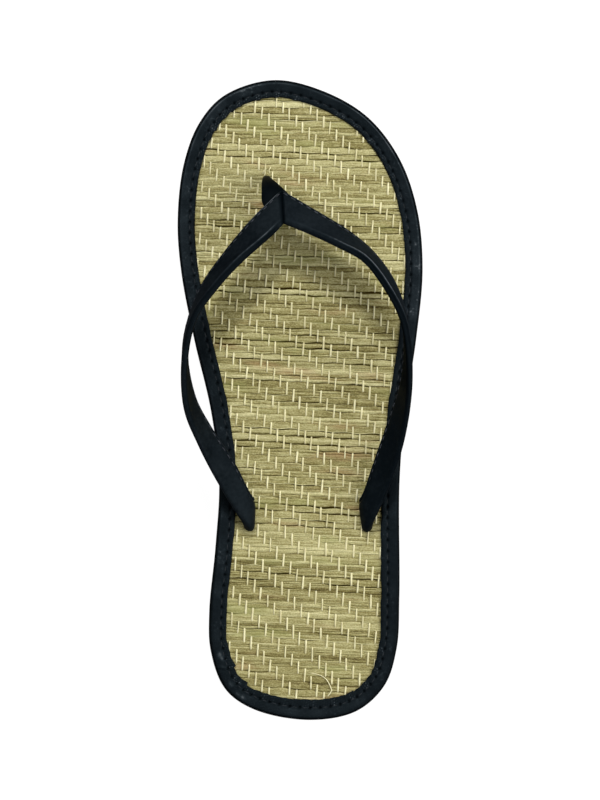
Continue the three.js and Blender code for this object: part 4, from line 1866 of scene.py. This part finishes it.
    def build(self) -> list[bpy.types.Object]:
        """Carries the section along the bands, and an oval along the toe post, then sews the seam.

        Returns:
            The bands, the toe post and the stitches.
        """
        at = self.places()
        toe, heel, across, normal = self.bands(at)
        knots = np.array(STRAP_SECTION)
        marks = np.arange(len(knots) * self.section_samples) / self.section_samples
        section, _ = spline(knots, marks, True)
        edge, inward, lift = np.clip(section[:, 0], 0.0, 1.0), section[:, 1], section[:, 2]
        full = self.fullness(at)[:, None]
        offset = (1.0 - 2.0 * edge) * inward * np.where(inward < 0.0, full, 1.0)
        ridge, bead = self.along(at, "ridge")[:, None], self.along(at, "bead")[:, None]
        raised = (lift + section[:, 3] * ridge) * full
        crease, pale = self.crease(toe, heel)
        raised = raised + crease[:, None] * ease(lift, *self.outer_face)
        # Painted highlight on the bead and heel-side ridge, with painted shade in the groove and on the bevel
        # beside them.
        tone = self.band_tone + section[:, 4] * np.where(edge > 0.5, ridge, bead)
        # Painted light and shade along the bands and by the crease.
        tone += (pale + self.along(at, "pale"))[:, None]
        # Painted shade on the inner face.
        tone -= self.along(at, "dull")[:, None] * ease(-lift, *self.inner_face)
        skin = (
            toe[:, None] * (1.0 - edge)[None, :, None]
            + heel[:, None] * edge[None, :, None]
            + across[:, None] * offset[:, :, None]
            + normal[:, None] * raised[:, :, None]
        )
        bands = self._closed("strap_bands", skin, tone)
        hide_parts("thong_strap")
        return [bands, self._post(), self._seam()]

    def _closed(self, name: str, skin: Array, tone: Array) -> bpy.types.Object:
        """Closes a run of sections with a fan at each end and builds it.

        Args:
            name: the object's name.
            skin: points of (sections, section points, 3).
            tone: shade at each point.

        Returns:
            The closed piece.
        """
        made = Piece(name).grid(skin, wrap_columns=True, flip=True, tone=np.clip(tone, 0.0, 1.0))
        first = np.broadcast_to(skin[0].mean(axis=0), skin[0].shape)
        final = np.broadcast_to(skin[-1].mean(axis=0), skin[-1].shape)
        made.grid(np.stack([first, skin[0]]), wrap_columns=True, flip=True)
        made.grid(np.stack([skin[-1], final]), wrap_columns=True, flip=True)
        return made.build(StrapFinish().material(), Slot.STRAP, weld=True)

    def _post(self) -> bpy.types.Object:
        """Carries an oval up the toe post: wide where it spreads under the bands.

        Returns:
            The post's object.
        """
        cuts = self.with_tail(TOE_POST[::-1])[::-1]
        thickness = np.array([POST_THICKNESS[0]] * 2 + list(POST_THICKNESS))
        last = len(cuts) - 1
        at = np.linspace(0.0, last, last * self.samples_per_cut + 1)
        left, right, ahead = self.rails(cuts, at)
        half = (right - left) / 2.0
        normal = unit(np.cross(half, ahead))
        thick = np.interp(at, np.arange(len(thickness)), thickness) / 2.0
        angle = np.linspace(0.0, TURN, self.post_columns, endpoint=False)[None, :, None]
        wide, deep = (np.sign(f) * np.abs(f) ** self.post_squareness for f in (-np.cos(angle), np.sin(angle)))
        skin = (left + half)[:, None] + half[:, None] * wide + (normal * thick[:, None])[:, None] * deep
        return self._closed("toe_post", skin, np.full(skin.shape[:2], self.post_tone))

    def _seam(self) -> bpy.types.Object:
        """Sews the seam along the toe-side edge, on both faces.

        Returns:
            The stitches' object.
        """
        last = len(MEDIAL_BAND) - self.seam_end
        toe, _, across, normal = self.bands(np.linspace(0.0, last, self.seam_samples))
        line = toe + self.seam_inward * across
        run = lengths(line)
        places = np.arange(self.stitch_pitch, run[-1] - self.stitch_pitch, self.stitch_pitch)
        made = Piece("strap_stitches")
        for depth in (self.seam_depth, -self.seam_depth):
            start, end = (
                sample(at, run, line) + depth * unit(sample(at, run, normal))
                for at in (places, places + self.stitch_length)
            )
            up = math.copysign(1.0, depth) * unit(sample(places, run, normal))
            made.grid(rods(start, end, up, self.stitch_radius, self.stitch_bow), wrap_columns=True)
        return made.build(StitchFinish().material(), Slot.STRAP, weld=True)


@dataclass
class Studio:
    """Pale floor, soft light and a camera straight above the shoe."""

    pixel: float = 260.0 / 638.5
    image_height: int = 800
    sensor: float = 36.0
    camera_height: float = 3000.0
    focus_height: float = 13.0
    floor_size: float = 3000.0
    floor_level: float = -0.2
    sky: float = 0.08
    clip_end: float = 10.0
    lights: tuple[tuple[str, Triple, float, float], ...] = (
        ("key_light", (-0.08, 1.19, 1.34), 0.28, 19.3),
        ("side_light", (1.1, -0.2, 1.1), 1.4, 22.8),
        ("fill_light", (-0.9, 0.3, 1.2), 1.2, 6.3),
    )

    def build(self) -> None:
        """Lays the floor, and sets the light and the camera."""
        self._floor()
        for light in self.lights:
            self._light(*light)
        world = bpy.data.worlds.new("studio_world")
        world.use_nodes = True
        sky = world.node_tree.nodes["Background"]
        sky.inputs["Color"].default_value = (1.0, 1.0, 1.0, 1.0)
        sky.inputs["Strength"].default_value = self.sky
        bpy.context.scene.world = world
        bpy.context.scene.view_settings.view_transform = "Standard"
        self._camera()

    def _floor(self) -> None:
        """A flat sheet, pale and matt."""
        line = np.array([-0.5, 0.0, 0.5]) * self.floor_size
        mesh = bpy.data.meshes.new("studio_floor")
        corners = sheet(line[:, None], line, np.array(self.floor_level)) * METRES
        quads = [(k, k + 3, k + 4, k + 1) for k in (0, 1, 3, 4)]
        mesh.from_pydata(corners.reshape(-1, 3).tolist(), [], quads)
        mesh.materials.append(FloorFinish().material())
        floor = bpy.data.objects.new("studio_floor", mesh)
        floor.visible_glossy = False
        bpy.context.scene.collection.objects.link(floor)

    @staticmethod
    def _light(name: str, place: Triple, size: float, power: float) -> None:
        """Adds a square soft light that faces the shoe.

        Args:
            name: its name.
            place: where it stands, in metres.
            size: length of its sides, in metres.
            power: its power in watts.
        """
        lamp = bpy.data.lights.new(name, "AREA")
        lamp.size = size
        lamp.energy = power
        made = bpy.data.objects.new(name, lamp)
        aim = -unit(np.array(place))
        made.location = place
        made.rotation_euler = (math.acos(-aim[2]), 0.0, math.atan2(aim[1], aim[0]) - math.pi / 2)
        bpy.context.scene.collection.objects.link(made)

    def _camera(self) -> None:
        """A long lens straight down, set so that a pixel covers its size on the shoe."""
        lens = bpy.data.cameras.new("camera")
        lens.sensor_width = self.sensor
        distance = self.camera_height - self.focus_height
        lens.lens = self.sensor * distance / (self.image_height * self.pixel)
        lens.clip_end = self.clip_end
        made = bpy.data.objects.new("camera", lens)
        made.location = (0.0, 0.0, self.camera_height * METRES)
        bpy.context.scene.collection.objects.link(made)
        bpy.context.scene.camera = made


def main() -> None:
    """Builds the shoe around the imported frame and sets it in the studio."""
    logging.basicConfig(level=logging.INFO, format="%(name)s %(message)s")
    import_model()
    form = SoleForm()
    Studio().build()
    Outsole(form).build()
    mat = ReedMat(form)
    mat.build_bed()
    mat.build_reeds()
    mat.build_threads()
    EdgeBinding(form).build()
    ThongStrap(form).build()


if __name__ == "__main__":
    main()
